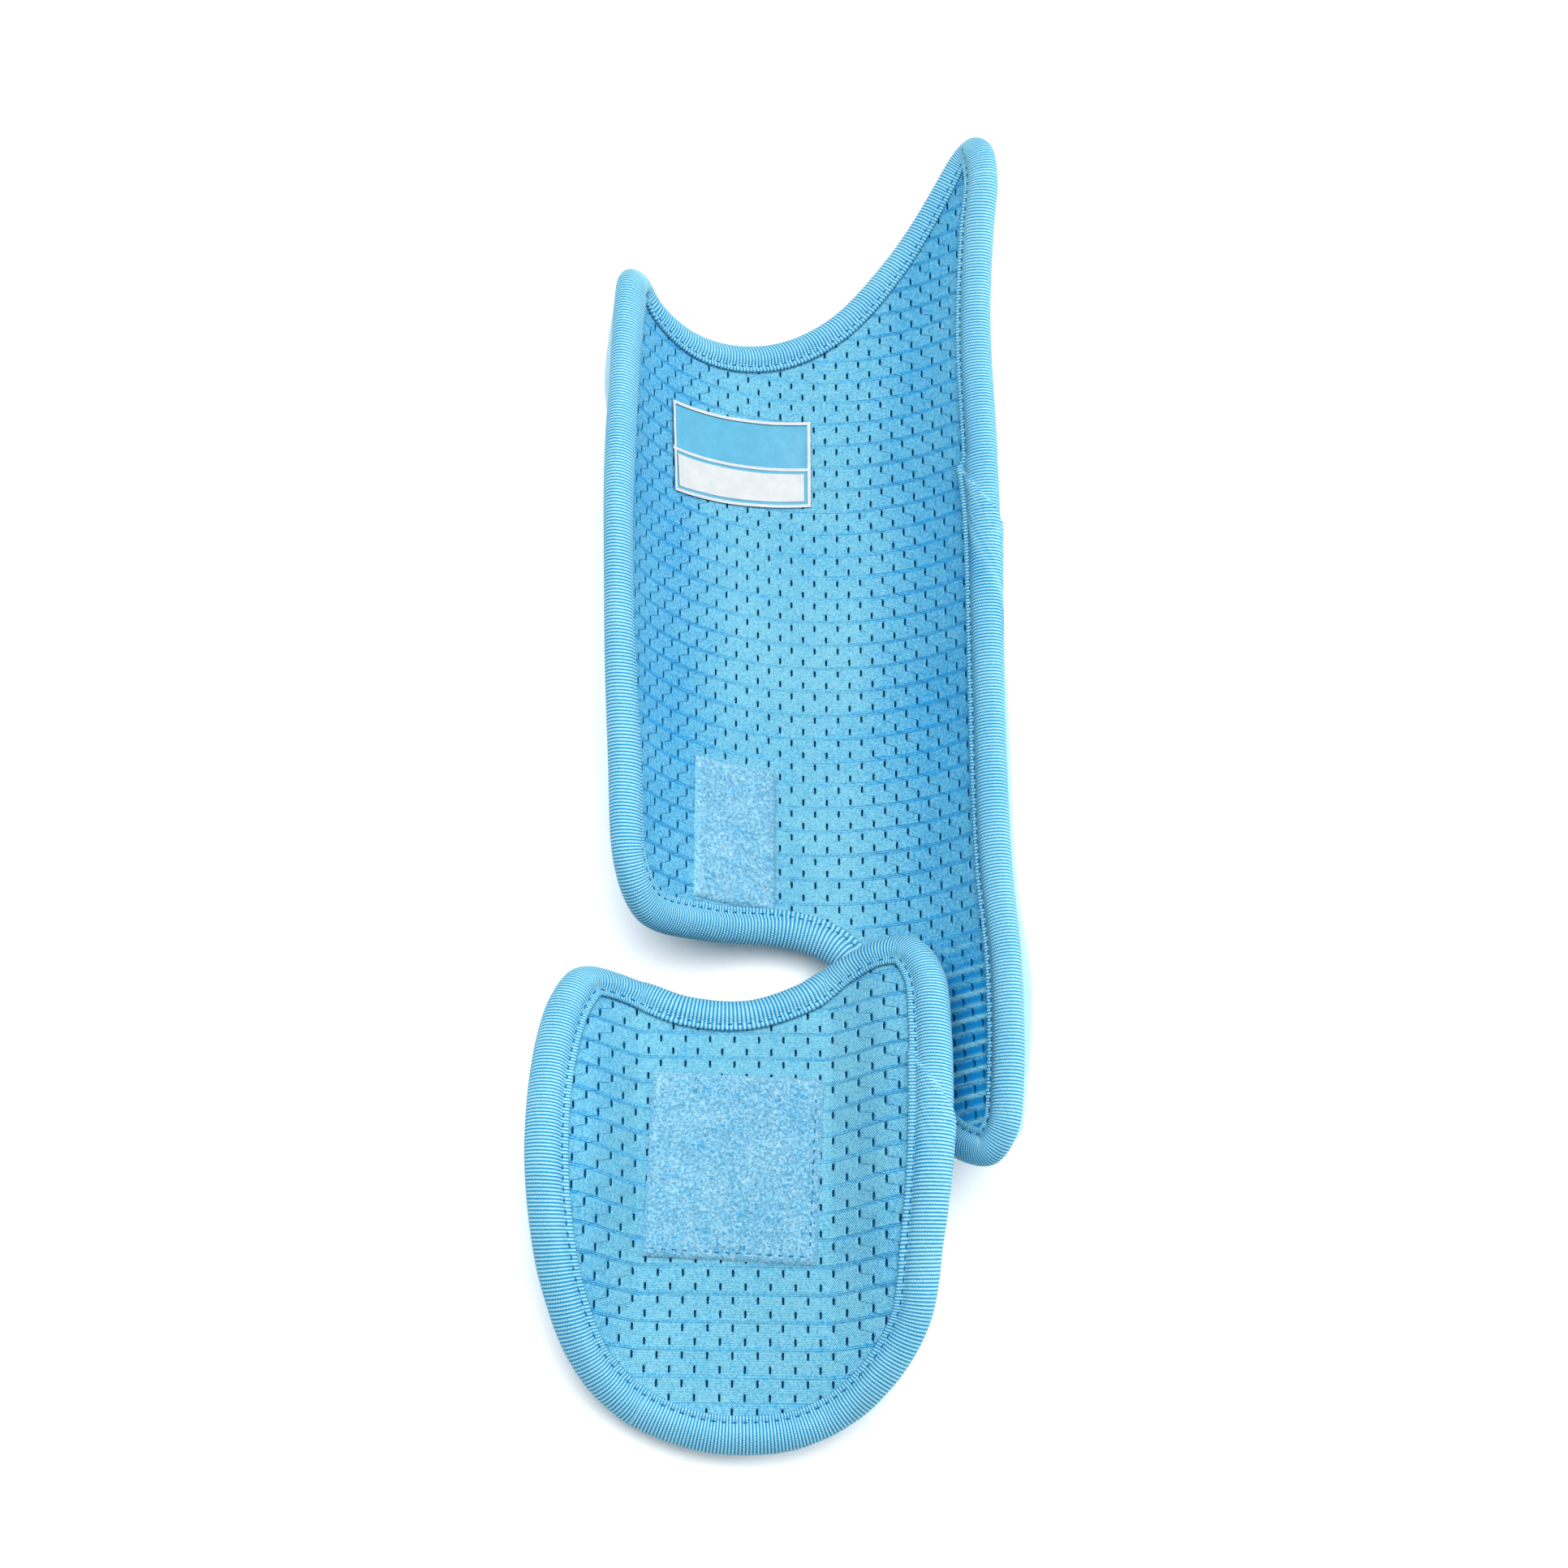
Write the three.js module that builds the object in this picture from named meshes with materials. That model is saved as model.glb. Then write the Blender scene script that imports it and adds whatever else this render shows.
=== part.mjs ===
import * as THREE from "three";

// A leg guard for a baseball batter, in two padded parts: a shin shell and a foot pad.
// It lies on its outer face with the inside up. +Y points to the knee, +Z away from the floor.
// The origin is on the floor, under the middle of the shin shell's resting strip.
// All sizes are in millimetres. Shares in the tables are shares of the size that they name.

// Shin shell
const SHIN_LENGTH = 344;
const SHIN_FLAT_WIDTH = 142;
const SHIN_RADIUS = 59;
const SHIN_PAD = 13;

// Foot pad
const FOOT_LENGTH = 146;
const FOOT_WIDTH = 115;
const FOOT_PAD = 7.5;
const FOOT_WALL_RISE = 24;
const FOOT_ARCH_DROP = 8;
const FOOT_ROLL_DEG = 7;
const FOOT_SIDE_SHIFT = 17.5;
const FOOT_TOP_GAP = 3;
const FOOT_LOBE_GAP = 0.4;

// Cloth and edges
const LINING = 1.7;
const PLY_GAP = 0.35;
const EDGE_FOAM = 2.6;
const EDGE_INSET = 2.5;
const TAPE = 1;
const TAPE_LEG = 10.2;
const TAPE_BACK_LEG = 4.6;
const TAPE_PUFF = 0.8;
const PAD_ROUNDING = 10;
const PATCH = 1.5;
const PATCH_GAP = 0.8;

// Comfort patches on the linings
const SHIN_PATCH_WIDTH = 26.5;
const SHIN_PATCH_LENGTH = 44;
const SHIN_PATCH_ACROSS = -0.258;
const FOOT_PATCH_WIDTH = 48;
const FOOT_PATCH_LENGTH = 53.5;
const FOOT_PATCH_TURN_DEG = -2.4;
const PATCH_CELL_COUNT = 6;

// Strap that joins the foot pad's outer wall to the tape of the shin shell's lower lobe
const STRAP = 2;
const STRAP_WIDTH = 28;
const STRAP_GAP = 0.4;
const STRAP_STATION_COUNT = 4;
const STRAP_STEP_COUNT = 10;
const STRAP_ALONG = -0.28;
const STRAP_ON_FOOT = [0.48, 0.54, 0.6];
const STRAP_ON_LOBE = [0.5, 0.56, 0.62];

// How many points lie round each closed edge, and the rings between the edge and the middle
const SHIN_EDGE_COUNT = 96;
const FOOT_EDGE_COUNT = 58;
const RING_SHARES = [0.82, 0.64, 0.5, 0.25];
const SHIN_MIDDLE_ALONG = 0.07;

const LIGHT_BLUE = 0x5db5ec;
const PALE_BLUE = 0x8fd0f7;
const FUZZ_BLUE = 0x7cc6f5;
const SHEET_ROUGHNESS = 0.85;
const TAPE_ROUGHNESS = 0.8;
const BLOCK_ROUGHNESS = 0.9;

// How far apart the foot pad's slope is measured
const SLOPE_STEP = 0.4;

// Edge of the shin shell, laid flat: across in half widths, along in lengths from the resting point
const SHIN_EDGE = [
  { across: 0.95, along: 0.586 },
  { across: 0.983, along: 0.55 },
  { across: 0.95, along: 0.5 },
  { across: 0.915, along: 0.4 },
  { across: 0.94, along: 0.24 },
  { across: 0.94, along: 0.05 },
  { across: 0.955, along: -0.11 },
  { across: 1.005, along: -0.21 },
  { across: 0.995, along: -0.305 },
  { across: 0.953, along: -0.35 },
  { across: 0.83, along: -0.371 },
  { across: 0.65, along: -0.357 },
  { across: 0.43, along: -0.3 },
  { across: 0.27, along: -0.224 },
  { across: 0.155, along: -0.178 },
  { across: 0, along: -0.164 },
  { across: -0.36, along: -0.168 },
  { across: -0.71, along: -0.17 },
  { across: -0.885, along: -0.133 },
  { across: -0.955, along: -0.04 },
  { across: -1.05, along: 0.07 },
  { across: -1.1, along: 0.18 },
  { across: -1.06, along: 0.29 },
  { across: -0.995, along: 0.385 },
  { across: -0.94, along: 0.418 },
  { across: -0.83, along: 0.428 },
  { across: -0.685, along: 0.416 },
  { across: -0.4, along: 0.405 },
  { across: -0.1, along: 0.415 },
  { across: 0.148, along: 0.444 },
  { across: 0.4, along: 0.499 },
  { across: 0.658, along: 0.568 },
  { across: 0.749, along: 0.589 },
  { across: 0.81, along: 0.597 },
  { across: 0.875, along: 0.599 },
];

// Whole thickness of the shin shell across it at its two ends, as a share of SHIN_PAD
const SHIN_THICKNESS = [
  { across: -1.1, ankle: 0.58, knee: 0.92 },
  { across: -0.7, ankle: 0.62, knee: 0.95 },
  { across: -0.35, ankle: 0.95, knee: 1 },
  { across: -0.15, ankle: 1.1, knee: 1.1 },
  { across: 0.15, ankle: 1.1, knee: 1.1 },
  { across: 0.4, ankle: 1.1, knee: 1.02 },
  { across: 0.7, ankle: 1.36, knee: 1.1 },
  { across: 1.1, ankle: 1.44, knee: 1.1 },
];
const KNEE_PAD_FROM = 0.24;
const KNEE_PAD_TO = 0.34;

// Edge of the foot pad in plan: across in half widths, along in lengths from its middle
const FOOT_EDGE = [
  { across: -0.2, along: -0.531 },
  { across: -0.48, along: -0.487 },
  { across: -0.74, along: -0.4 },
  { across: -0.884, along: -0.278 },
  { across: -0.96, along: -0.13 },
  { across: -0.98, along: 0.03 },
  { across: -0.947, along: 0.19 },
  { across: -0.875, along: 0.306 },
  { across: -0.777, along: 0.371 },
  { across: -0.64, along: 0.389 },
  { across: -0.45, along: 0.384 },
  { across: -0.22, along: 0.352 },
  { across: 0.05, along: 0.347 },
  { across: 0.3, along: 0.382 },
  { across: 0.5, along: 0.433 },
  { across: 0.7, along: 0.456 },
  { across: 0.88, along: 0.442 },
  { across: 0.985, along: 0.37 },
  { across: 1.01, along: 0.24 },
  { across: 1.0, along: 0.03 },
  { across: 0.962, along: -0.17 },
  { across: 0.903, along: -0.331 },
  { across: 0.688, along: -0.449 },
  { across: 0.364, along: -0.524 },
  { across: 0.03, along: -0.541 },
];

// Side walls of the foot pad: rise as a share of FOOT_WALL_RISE
const FOOT_WALL = [
  { across: 0, rise: 0 },
  { across: 0.44, rise: 0.005 },
  { across: 0.55, rise: 0.2 },
  { across: 0.7, rise: 0.6 },
  { across: 0.85, rise: 0.87 },
  { across: 1.02, rise: 1.1 },
];

// How much of the side walls' rise is left along the foot pad
const FOOT_WALL_ALONG = [
  { along: -0.54, share: 0.15 },
  { along: -0.42, share: 0.4 },
  { along: -0.24, share: 0.75 },
  { along: 0, share: 1 },
  { along: 0.28, share: 0.86 },
  { along: 0.48, share: 0.72 },
];
const FOOT_ARCH_TOP = 0.07;

// Section of the edge tape, laid round the edge: inset from the edge, and lift above the lining's face
const EDGE_STACK = LINING + PLY_GAP + EDGE_FOAM;
const TAPE_TOP = PLY_GAP + TAPE + TAPE_PUFF;
const TAPE_SECTION = [
  { inset: TAPE_LEG, lift: PLY_GAP },
  { inset: TAPE_LEG, lift: PLY_GAP + TAPE },
  { inset: TAPE_LEG * 0.55, lift: TAPE_TOP },
  { inset: TAPE_LEG * 0.2, lift: PLY_GAP + TAPE * 0.4 },
  { inset: 0, lift: -EDGE_STACK * 0.5 },
  { inset: TAPE_BACK_LEG * 0.4, lift: -EDGE_STACK - PLY_GAP - TAPE * 0.4 },
  { inset: TAPE_BACK_LEG * 0.8, lift: -EDGE_STACK - PLY_GAP - TAPE },
  { inset: TAPE_BACK_LEG, lift: -EDGE_STACK - PLY_GAP - TAPE * 0.6 },
  { inset: TAPE_BACK_LEG, lift: -EDGE_STACK - PLY_GAP },
  { inset: EDGE_INSET - PLY_GAP, lift: -EDGE_STACK - PLY_GAP },
  { inset: EDGE_INSET - PLY_GAP, lift: PLY_GAP },
];

// A smooth curve through a table's rows that adds no bumps between them
function smoothTable(rows, from, to) {
  const x = rows.map((row) => row[from]);
  const y = rows.map((row) => row[to]);
  const step = x.slice(1).map((value, i) => (y[i + 1] - y[i]) / (value - x[i]));
  const slope = x.map((_, i) => {
    if (i === 0 || i === x.length - 1) return step[Math.min(i, step.length - 1)];
    if (step[i - 1] * step[i] <= 0) return 0;
    return (2 * step[i - 1] * step[i]) / (step[i - 1] + step[i]);
  });
  return (value) => {
    const at = THREE.MathUtils.clamp(value, x[0], x[x.length - 1]);
    let i = 0;
    while (i < x.length - 2 && at > x[i + 1]) i += 1;
    const span = x[i + 1] - x[i];
    const t = (at - x[i]) / span;
    const rise = y[i + 1] - y[i];
    const bend = slope[i] * span - rise;
    const counter = rise - slope[i + 1] * span;
    return y[i] + rise * t + t * (1 - t) * (bend * (1 - t) + counter * t);
  };
}

// A closed edge as evenly spaced flat points, with the inward direction at each
function edgeLoop(rows, halfWidth, length, count) {
  const corners = rows.map((row) => new THREE.Vector3(row.across * halfWidth, row.along * length, 0));
  const curve = new THREE.CatmullRomCurve3(corners, true, "centripetal");
  const points = curve.getSpacedPoints(count).slice(0, count);
  const inward = points.map((_, i) => {
    const before = points[(i + count - 1) % count];
    const after = points[(i + 1) % count];
    const along = after.clone().sub(before).normalize();
    return new THREE.Vector3(along.y, -along.x, 0);
  });
  return { points, inward, count };
}

function insetRing(edge, inset) {
  return edge.points.map((point, i) => point.clone().addScaledVector(edge.inward[i], inset));
}

// True for a flat place inside the edge
function insideEdge(edge, x, y) {
  let inside = false;
  edge.points.forEach((start, i) => {
    const end = edge.points[(i + 1) % edge.count];
    const crosses = start.y > y !== end.y > y;
    if (crosses && x < start.x + ((end.x - start.x) * (y - start.y)) / (end.y - start.y)) inside = !inside;
  });
  return inside;
}

// Distance from a flat point to the edge
function edgeDistance(edge, point) {
  let nearest = Infinity;
  edge.points.forEach((start, i) => {
    const end = edge.points[(i + 1) % edge.count];
    const line = new THREE.Line3(start, end);
    const foot = line.closestPointToPoint(point, true, new THREE.Vector3());
    nearest = Math.min(nearest, foot.distanceTo(point));
  });
  return nearest;
}

function solidMesh(name, positions, indices, colour, roughness) {
  const geometry = new THREE.BufferGeometry();
  geometry.setAttribute("position", new THREE.Float32BufferAttribute(positions, 3));
  geometry.setIndex(indices);
  geometry.computeVertexNormals();
  const material = new THREE.MeshStandardMaterial({ color: colour, roughness, metalness: 0 });
  const mesh = new THREE.Mesh(geometry, material);
  mesh.name = name;
  return mesh;
}

// Insets of the rings that lie under the tape and where its two legs end
const HEM_INSET = TAPE_LEG + PLY_GAP;
const BACK_INSET = TAPE_BACK_LEG + PLY_GAP;
const LINING_INSETS = [EDGE_INSET, HEM_INSET];
const SHELL_INSETS = [EDGE_INSET, BACK_INSET, HEM_INSET];

// A padded sheet between two faces: rings from the edge to the middle, closed round the edge
function sheetSolid(name, shell, insets, upper, lower, colour) {
  const rings = insets.map((inset) => insetRing(shell.edge, inset));
  const hem = rings[rings.length - 1];
  RING_SHARES.forEach((share) => {
    rings.push(hem.map((point) => shell.middle.clone().lerp(point, share)));
  });
  const positions = [];
  const addPoint = (point) => positions.push(point.x, point.y, point.z);
  rings.forEach((ring) => ring.forEach((point) => addPoint(upper(point))));
  addPoint(upper(shell.middle));
  rings.forEach((ring) => ring.forEach((point) => addPoint(lower(point))));
  addPoint(lower(shell.middle));

  const count = shell.edge.count;
  const faceSize = rings.length * count + 1;
  const upperAt = (ring, i) => ring * count + (i % count);
  const lowerAt = (ring, i) => faceSize + upperAt(ring, i);
  const last = rings.length - 1;
  const indices = [];
  for (let i = 0; i < count; i += 1) {
    for (let ring = 0; ring < last; ring += 1) {
      indices.push(upperAt(ring, i), upperAt(ring + 1, i), upperAt(ring + 1, i + 1));
      indices.push(upperAt(ring, i), upperAt(ring + 1, i + 1), upperAt(ring, i + 1));
      indices.push(lowerAt(ring, i), lowerAt(ring + 1, i + 1), lowerAt(ring + 1, i));
      indices.push(lowerAt(ring, i), lowerAt(ring, i + 1), lowerAt(ring + 1, i + 1));
    }
    indices.push(upperAt(last, i), faceSize - 1, upperAt(last, i + 1));
    indices.push(lowerAt(last, i), lowerAt(last, i + 1), 2 * faceSize - 1);
    indices.push(upperAt(0, i), upperAt(0, i + 1), lowerAt(0, i + 1));
    indices.push(upperAt(0, i), lowerAt(0, i + 1), lowerAt(0, i));
  }
  return solidMesh(name, positions, indices, colour, SHEET_ROUGHNESS);
}

// The edge tape: one section carried all round the edge
function tapeSolid(name, shell, colour) {
  const sides = TAPE_SECTION.length;
  const count = shell.edge.count;
  const rings = TAPE_SECTION.map((corner) => {
    return insetRing(shell.edge, corner.inset).map((point) => shell.face(point, corner.lift));
  });
  const positions = [];
  rings.forEach((ring) => ring.forEach((point) => positions.push(point.x, point.y, point.z)));
  const at = (side, i) => (side % sides) * count + (i % count);
  const indices = [];
  for (let side = 0; side < sides; side += 1) {
    const inwardStep = TAPE_SECTION[(side + 1) % sides].inset > TAPE_SECTION[side].inset;
    for (let i = 0; i < count; i += 1) {
      const near = [at(side, i), at(side, i + 1)];
      const far = [at(side + 1, i), at(side + 1, i + 1)];
      // The fold of each square runs inwards, as it does on the sheets inside the tape
      if (inwardStep) indices.push(near[0], far[1], far[0], near[0], near[1], far[1]);
      else indices.push(near[0], near[1], far[0], near[1], far[1], far[0]);
    }
  }
  return solidMesh(name, positions, indices, colour, TAPE_ROUGHNESS);
}

// A block of stations: each station is a row of upper points and a row of lower points
function stationSolid(name, stations, colour) {
  const width = stations[0].upper.length;
  const positions = [];
  stations.forEach((station) => {
    [...station.upper, ...station.lower].forEach((point) => positions.push(point.x, point.y, point.z));
  });
  const upperAt = (row, i) => row * width * 2 + i;
  const lowerAt = (row, i) => upperAt(row, i) + width;
  const indices = [];
  const quad = (a, b, c, d) => indices.push(a, b, c, a, c, d);
  const last = stations.length - 1;
  for (let row = 0; row < last; row += 1) {
    for (let i = 0; i < width - 1; i += 1) {
      quad(upperAt(row, i), upperAt(row, i + 1), upperAt(row + 1, i + 1), upperAt(row + 1, i));
      quad(lowerAt(row, i), lowerAt(row + 1, i), lowerAt(row + 1, i + 1), lowerAt(row, i + 1));
    }
    quad(upperAt(row, 0), upperAt(row + 1, 0), lowerAt(row + 1, 0), lowerAt(row, 0));
    const end = width - 1;
    quad(upperAt(row, end), lowerAt(row, end), lowerAt(row + 1, end), upperAt(row + 1, end));
  }
  for (let i = 0; i < width - 1; i += 1) {
    quad(upperAt(0, i), lowerAt(0, i), lowerAt(0, i + 1), upperAt(0, i + 1));
    quad(upperAt(last, i), upperAt(last, i + 1), lowerAt(last, i + 1), lowerAt(last, i));
  }
  return solidMesh(name, positions, indices, colour, BLOCK_ROUGHNESS);
}

// A comfort patch that follows the lining's face
function patchSolid(name, shell, place, colour) {
  const turn = THREE.MathUtils.degToRad(place.turnDeg);
  const stations = [];
  for (let row = 0; row <= PATCH_CELL_COUNT; row += 1) {
    const station = { upper: [], lower: [] };
    for (let i = 0; i <= PATCH_CELL_COUNT; i += 1) {
      const side = (i / PATCH_CELL_COUNT - 0.5) * place.width;
      const way = (row / PATCH_CELL_COUNT - 0.5) * place.length;
      const point = new THREE.Vector3(side, way, 0).applyAxisAngle(new THREE.Vector3(0, 0, 1), turn);
      point.add(place.middle);
      station.upper.push(shell.face(point, PATCH_GAP + PATCH));
      station.lower.push(shell.face(point, PATCH_GAP));
    }
    stations.push(station);
  }
  return stationSolid(name, stations, colour);
}

// Depth of padding behind the lining's face: thin under the tape, then rounded up to its whole thickness
function padDepth(edge, point, whole) {
  const way = (edgeDistance(edge, point) - BACK_INSET) / PAD_ROUNDING;
  const turn = (THREE.MathUtils.clamp(way, 0, 1) * Math.PI) / 2;
  return THREE.MathUtils.lerp(EDGE_STACK, Math.max(whole, EDGE_STACK), Math.sin(turn));
}

// Shin shell: a trough whose inside is round
const shinAxisHeight = SHIN_PAD + SHIN_RADIUS;
const shinHalf = SHIN_FLAT_WIDTH / 2;
const anklePad = smoothTable(SHIN_THICKNESS, "across", "ankle");
const kneePad = smoothTable(SHIN_THICKNESS, "across", "knee");
const shin = {
  edge: edgeLoop(SHIN_EDGE, shinHalf, SHIN_LENGTH, SHIN_EDGE_COUNT),
  middle: new THREE.Vector3(0, SHIN_LENGTH * SHIN_MIDDLE_ALONG, 0),
  face(point, lift) {
    const turn = point.x / SHIN_RADIUS;
    const radius = SHIN_RADIUS - lift;
    return new THREE.Vector3(radius * Math.sin(turn), point.y, shinAxisHeight - radius * Math.cos(turn));
  },
};

function shinOuter(point) {
  const across = point.x / shinHalf;
  const kneeward = THREE.MathUtils.smoothstep(point.y / SHIN_LENGTH, KNEE_PAD_FROM, KNEE_PAD_TO);
  const share = THREE.MathUtils.lerp(anklePad(across), kneePad(across), kneeward);
  const outer = shin.face(point, -padDepth(shin.edge, point, SHIN_PAD * share));
  outer.z = Math.max(outer.z, 0);
  return outer;
}

// Foot pad: a tray with a flat floor, side walls and a low arch along it
const footHalf = FOOT_WIDTH / 2;
const footWall = smoothTable(FOOT_WALL, "across", "rise");
const footWallAlong = smoothTable(FOOT_WALL_ALONG, "along", "share");
const footLow = Math.min(...FOOT_EDGE.map((row) => row.along)) * FOOT_LENGTH;
const footArchReach = FOOT_ARCH_TOP * FOOT_LENGTH - footLow;

function footHeight(x, y) {
  const wall = FOOT_WALL_RISE * footWall(Math.abs(x) / footHalf) * footWallAlong(y / FOOT_LENGTH);
  return wall - FOOT_ARCH_DROP * ((y - FOOT_ARCH_TOP * FOOT_LENGTH) / footArchReach) ** 2;
}

const footFrame = new THREE.Matrix4();
const foot = {
  edge: edgeLoop(FOOT_EDGE, footHalf, FOOT_LENGTH, FOOT_EDGE_COUNT),
  middle: new THREE.Vector3(0, 0, 0),
  face(point, lift) {
    const half = SLOPE_STEP / 2;
    const slopeX = (footHeight(point.x + half, point.y) - footHeight(point.x - half, point.y)) / SLOPE_STEP;
    const slopeY = (footHeight(point.x, point.y + half) - footHeight(point.x, point.y - half)) / SLOPE_STEP;
    const normal = new THREE.Vector3(-slopeX, -slopeY, 1).normalize();
    const flat = new THREE.Vector3(point.x, point.y, footHeight(point.x, point.y));
    return flat.addScaledVector(normal, lift).applyMatrix4(footFrame);
  },
};

// The foot pad lies below the shin shell's straight lower edge, rolled into the lobe
const shinLowerEdge = SHIN_EDGE.find((row) => row.across === 0).along * SHIN_LENGTH;
const footTop = Math.max(...foot.edge.points.map((point) => point.y));
const footRoll = THREE.MathUtils.degToRad(FOOT_ROLL_DEG);
footFrame.makeRotationY(-footRoll);
footFrame.setPosition(-FOOT_SIDE_SHIFT, shinLowerEdge - FOOT_TOP_GAP - footTop, 0);

function footOuter(point, clear = 0) {
  return foot.face(point, -padDepth(foot.edge, point, FOOT_PAD) - clear);
}

// Height of the shin shell's tape over a place in plan, or the floor where there is no shell
function shinTopAt(x, y) {
  const across = SHIN_RADIUS * Math.asin(THREE.MathUtils.clamp(x / SHIN_RADIUS, -1, 1));
  if (!insideEdge(shin.edge, across, y)) return 0;
  return shin.face(new THREE.Vector3(across, y, 0), TAPE_TOP).z + FOOT_LOBE_GAP;
}

// It is lowered until it meets the lobe or the floor
const footUnderside = TAPE_SECTION.flatMap((corner) => {
  return insetRing(foot.edge, corner.inset).map((point) => foot.face(point, corner.lift));
});
footFrame.elements[14] = Math.max(...footUnderside.map((point) => shinTopAt(point.x, point.y) - point.z));

// A web from the foot pad's outer wall to the lobe's tape, one path for each station along it
function strapSolid(name, colour) {
  const middle = STRAP_ALONG * SHIN_LENGTH;
  const stations = [];
  for (let row = 0; row <= STRAP_STATION_COUNT; row += 1) {
    const y = middle + (row / STRAP_STATION_COUNT - 0.5) * STRAP_WIDTH;
    const footY = y - footFrame.elements[13];
    const onFoot = STRAP_ON_FOOT.map((share) => {
      return footOuter(new THREE.Vector3(share * footHalf, footY, 0), STRAP_GAP + STRAP / 2);
    });
    const onLobe = STRAP_ON_LOBE.map((share) => {
      return shin.face(new THREE.Vector3(share * shinHalf, y, 0), TAPE_TOP + STRAP_GAP + STRAP / 2);
    });
    const path = new THREE.CatmullRomCurve3([...onFoot, ...onLobe], false, "centripetal");
    const station = { upper: [], lower: [] };
    for (let i = 0; i <= STRAP_STEP_COUNT; i += 1) {
      const point = path.getPointAt(i / STRAP_STEP_COUNT);
      const way = path.getTangentAt(i / STRAP_STEP_COUNT);
      const up = new THREE.Vector3(-way.z, 0, way.x).normalize();
      station.upper.push(point.clone().addScaledVector(up, STRAP / 2).setY(y));
      station.lower.push(point.clone().addScaledVector(up, -STRAP / 2).setY(y));
    }
    stations.push(station);
  }
  return stationSolid(name, stations, colour);
}

const shinPatch = {
  width: SHIN_PATCH_WIDTH,
  length: SHIN_PATCH_LENGTH,
  turnDeg: 0,
  middle: new THREE.Vector3(
    SHIN_PATCH_ACROSS * shinHalf,
    shinLowerEdge + TAPE_LEG + PATCH_GAP + SHIN_PATCH_LENGTH / 2,
    0,
  ),
};

const footPatch = {
  width: FOOT_PATCH_WIDTH,
  length: FOOT_PATCH_LENGTH,
  turnDeg: FOOT_PATCH_TURN_DEG,
  middle: foot.middle,
};

const underLining = (shell) => (point) => shell.face(point, -LINING - PLY_GAP);
const liningTop = (shell) => (point) => shell.face(point, 0);
const liningBottom = (shell) => (point) => shell.face(point, -LINING);

const guard = new THREE.Group();
guard.add(sheetSolid("shin_shell", shin, SHELL_INSETS, underLining(shin), shinOuter, PALE_BLUE));
guard.add(sheetSolid("shin_lining", shin, LINING_INSETS, liningTop(shin), liningBottom(shin), LIGHT_BLUE));
guard.add(tapeSolid("shin_binding", shin, PALE_BLUE));
guard.add(patchSolid("shin_patch", shin, shinPatch, FUZZ_BLUE));
guard.add(sheetSolid("foot_shell", foot, SHELL_INSETS, underLining(foot), footOuter, PALE_BLUE));
guard.add(sheetSolid("foot_lining", foot, LINING_INSETS, liningTop(foot), liningBottom(foot), LIGHT_BLUE));
guard.add(tapeSolid("foot_binding", foot, PALE_BLUE));
guard.add(patchSolid("foot_patch", foot, footPatch, FUZZ_BLUE));
guard.add(strapSolid("link_strap", LIGHT_BLUE));

export default guard;
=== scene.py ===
import math

import bpy
import numpy as np
from mathutils import Matrix, Vector


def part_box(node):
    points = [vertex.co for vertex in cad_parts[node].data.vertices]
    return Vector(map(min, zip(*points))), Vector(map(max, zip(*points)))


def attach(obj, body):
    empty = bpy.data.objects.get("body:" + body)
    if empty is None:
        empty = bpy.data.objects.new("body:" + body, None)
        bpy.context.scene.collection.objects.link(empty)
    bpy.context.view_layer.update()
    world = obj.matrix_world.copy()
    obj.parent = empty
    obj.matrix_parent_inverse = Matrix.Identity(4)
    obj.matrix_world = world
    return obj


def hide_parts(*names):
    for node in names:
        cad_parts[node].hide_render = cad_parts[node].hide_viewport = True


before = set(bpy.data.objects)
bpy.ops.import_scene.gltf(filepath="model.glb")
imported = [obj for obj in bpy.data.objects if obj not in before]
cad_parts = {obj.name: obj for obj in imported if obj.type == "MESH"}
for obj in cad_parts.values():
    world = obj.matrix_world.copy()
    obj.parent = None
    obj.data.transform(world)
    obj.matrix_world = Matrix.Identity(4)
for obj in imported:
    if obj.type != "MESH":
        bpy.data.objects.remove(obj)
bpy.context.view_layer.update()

# A batter's leg guard, lying on its outer face with the inside up: shin shell and foot pad.
# Shapes are worked out in millimetres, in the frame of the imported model, and made in metres.
MM = 0.001
TURN = 2 * math.pi
rng = np.random.default_rng(7)

# Shin shell
SHIN_LENGTH = 344
SHIN_FLAT_WIDTH = 142
SHIN_RADIUS = 59
SHIN_PAD = 13

# Foot pad
FOOT_LENGTH = 146
FOOT_WIDTH = 115
FOOT_PAD = 7.5
FOOT_WALL_RISE = 24
FOOT_ARCH_DROP = 8
FOOT_ROLL = math.radians(7)
FOOT_SIDE_SHIFT = 17.5
FOOT_TOP_GAP = 3
FOOT_ARCH_TOP = 0.07

# Cloth and edges
LINING = 1.7
PLY_GAP = 0.35
EDGE_FOAM = 2.6
EDGE_STACK = LINING + PLY_GAP + EDGE_FOAM
TAPE_LEG = 10.2
TAPE_BACK_LEG = 4.6
TAPE_TOP = 2.15
PAD_ROUNDING = 10

# Where the padding goes over from its thickness at the ankle to that at the knee, in shin lengths
KNEE_PAD_FROM = 0.24
KNEE_PAD_TO = 0.34

# Knit mesh of the linings: slits stand in rows, and each row is shifted by half a pitch
SLIT_PITCH = 6.9
ROW_PITCH = 3.77
SLIT_HALF_WIDTH = 0.29
SLIT_HALF_HEIGHT = 1.1
SLIT_DEPTH = 1.1
TILE_COLUMNS = 8
TILE_ROWS = 4

# Ribbed edge tape
RIB_PITCH = 1.0
RIB_RELIEF = 0.13
RIB_CUTS = 3
HEM_TWIST_PITCH = 1.7
HEM_RELIEF = 0.09
STITCH_PITCH = 2.9
STITCH_LENGTH = 1.5
STITCH_RADIUS = 0.2

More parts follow.
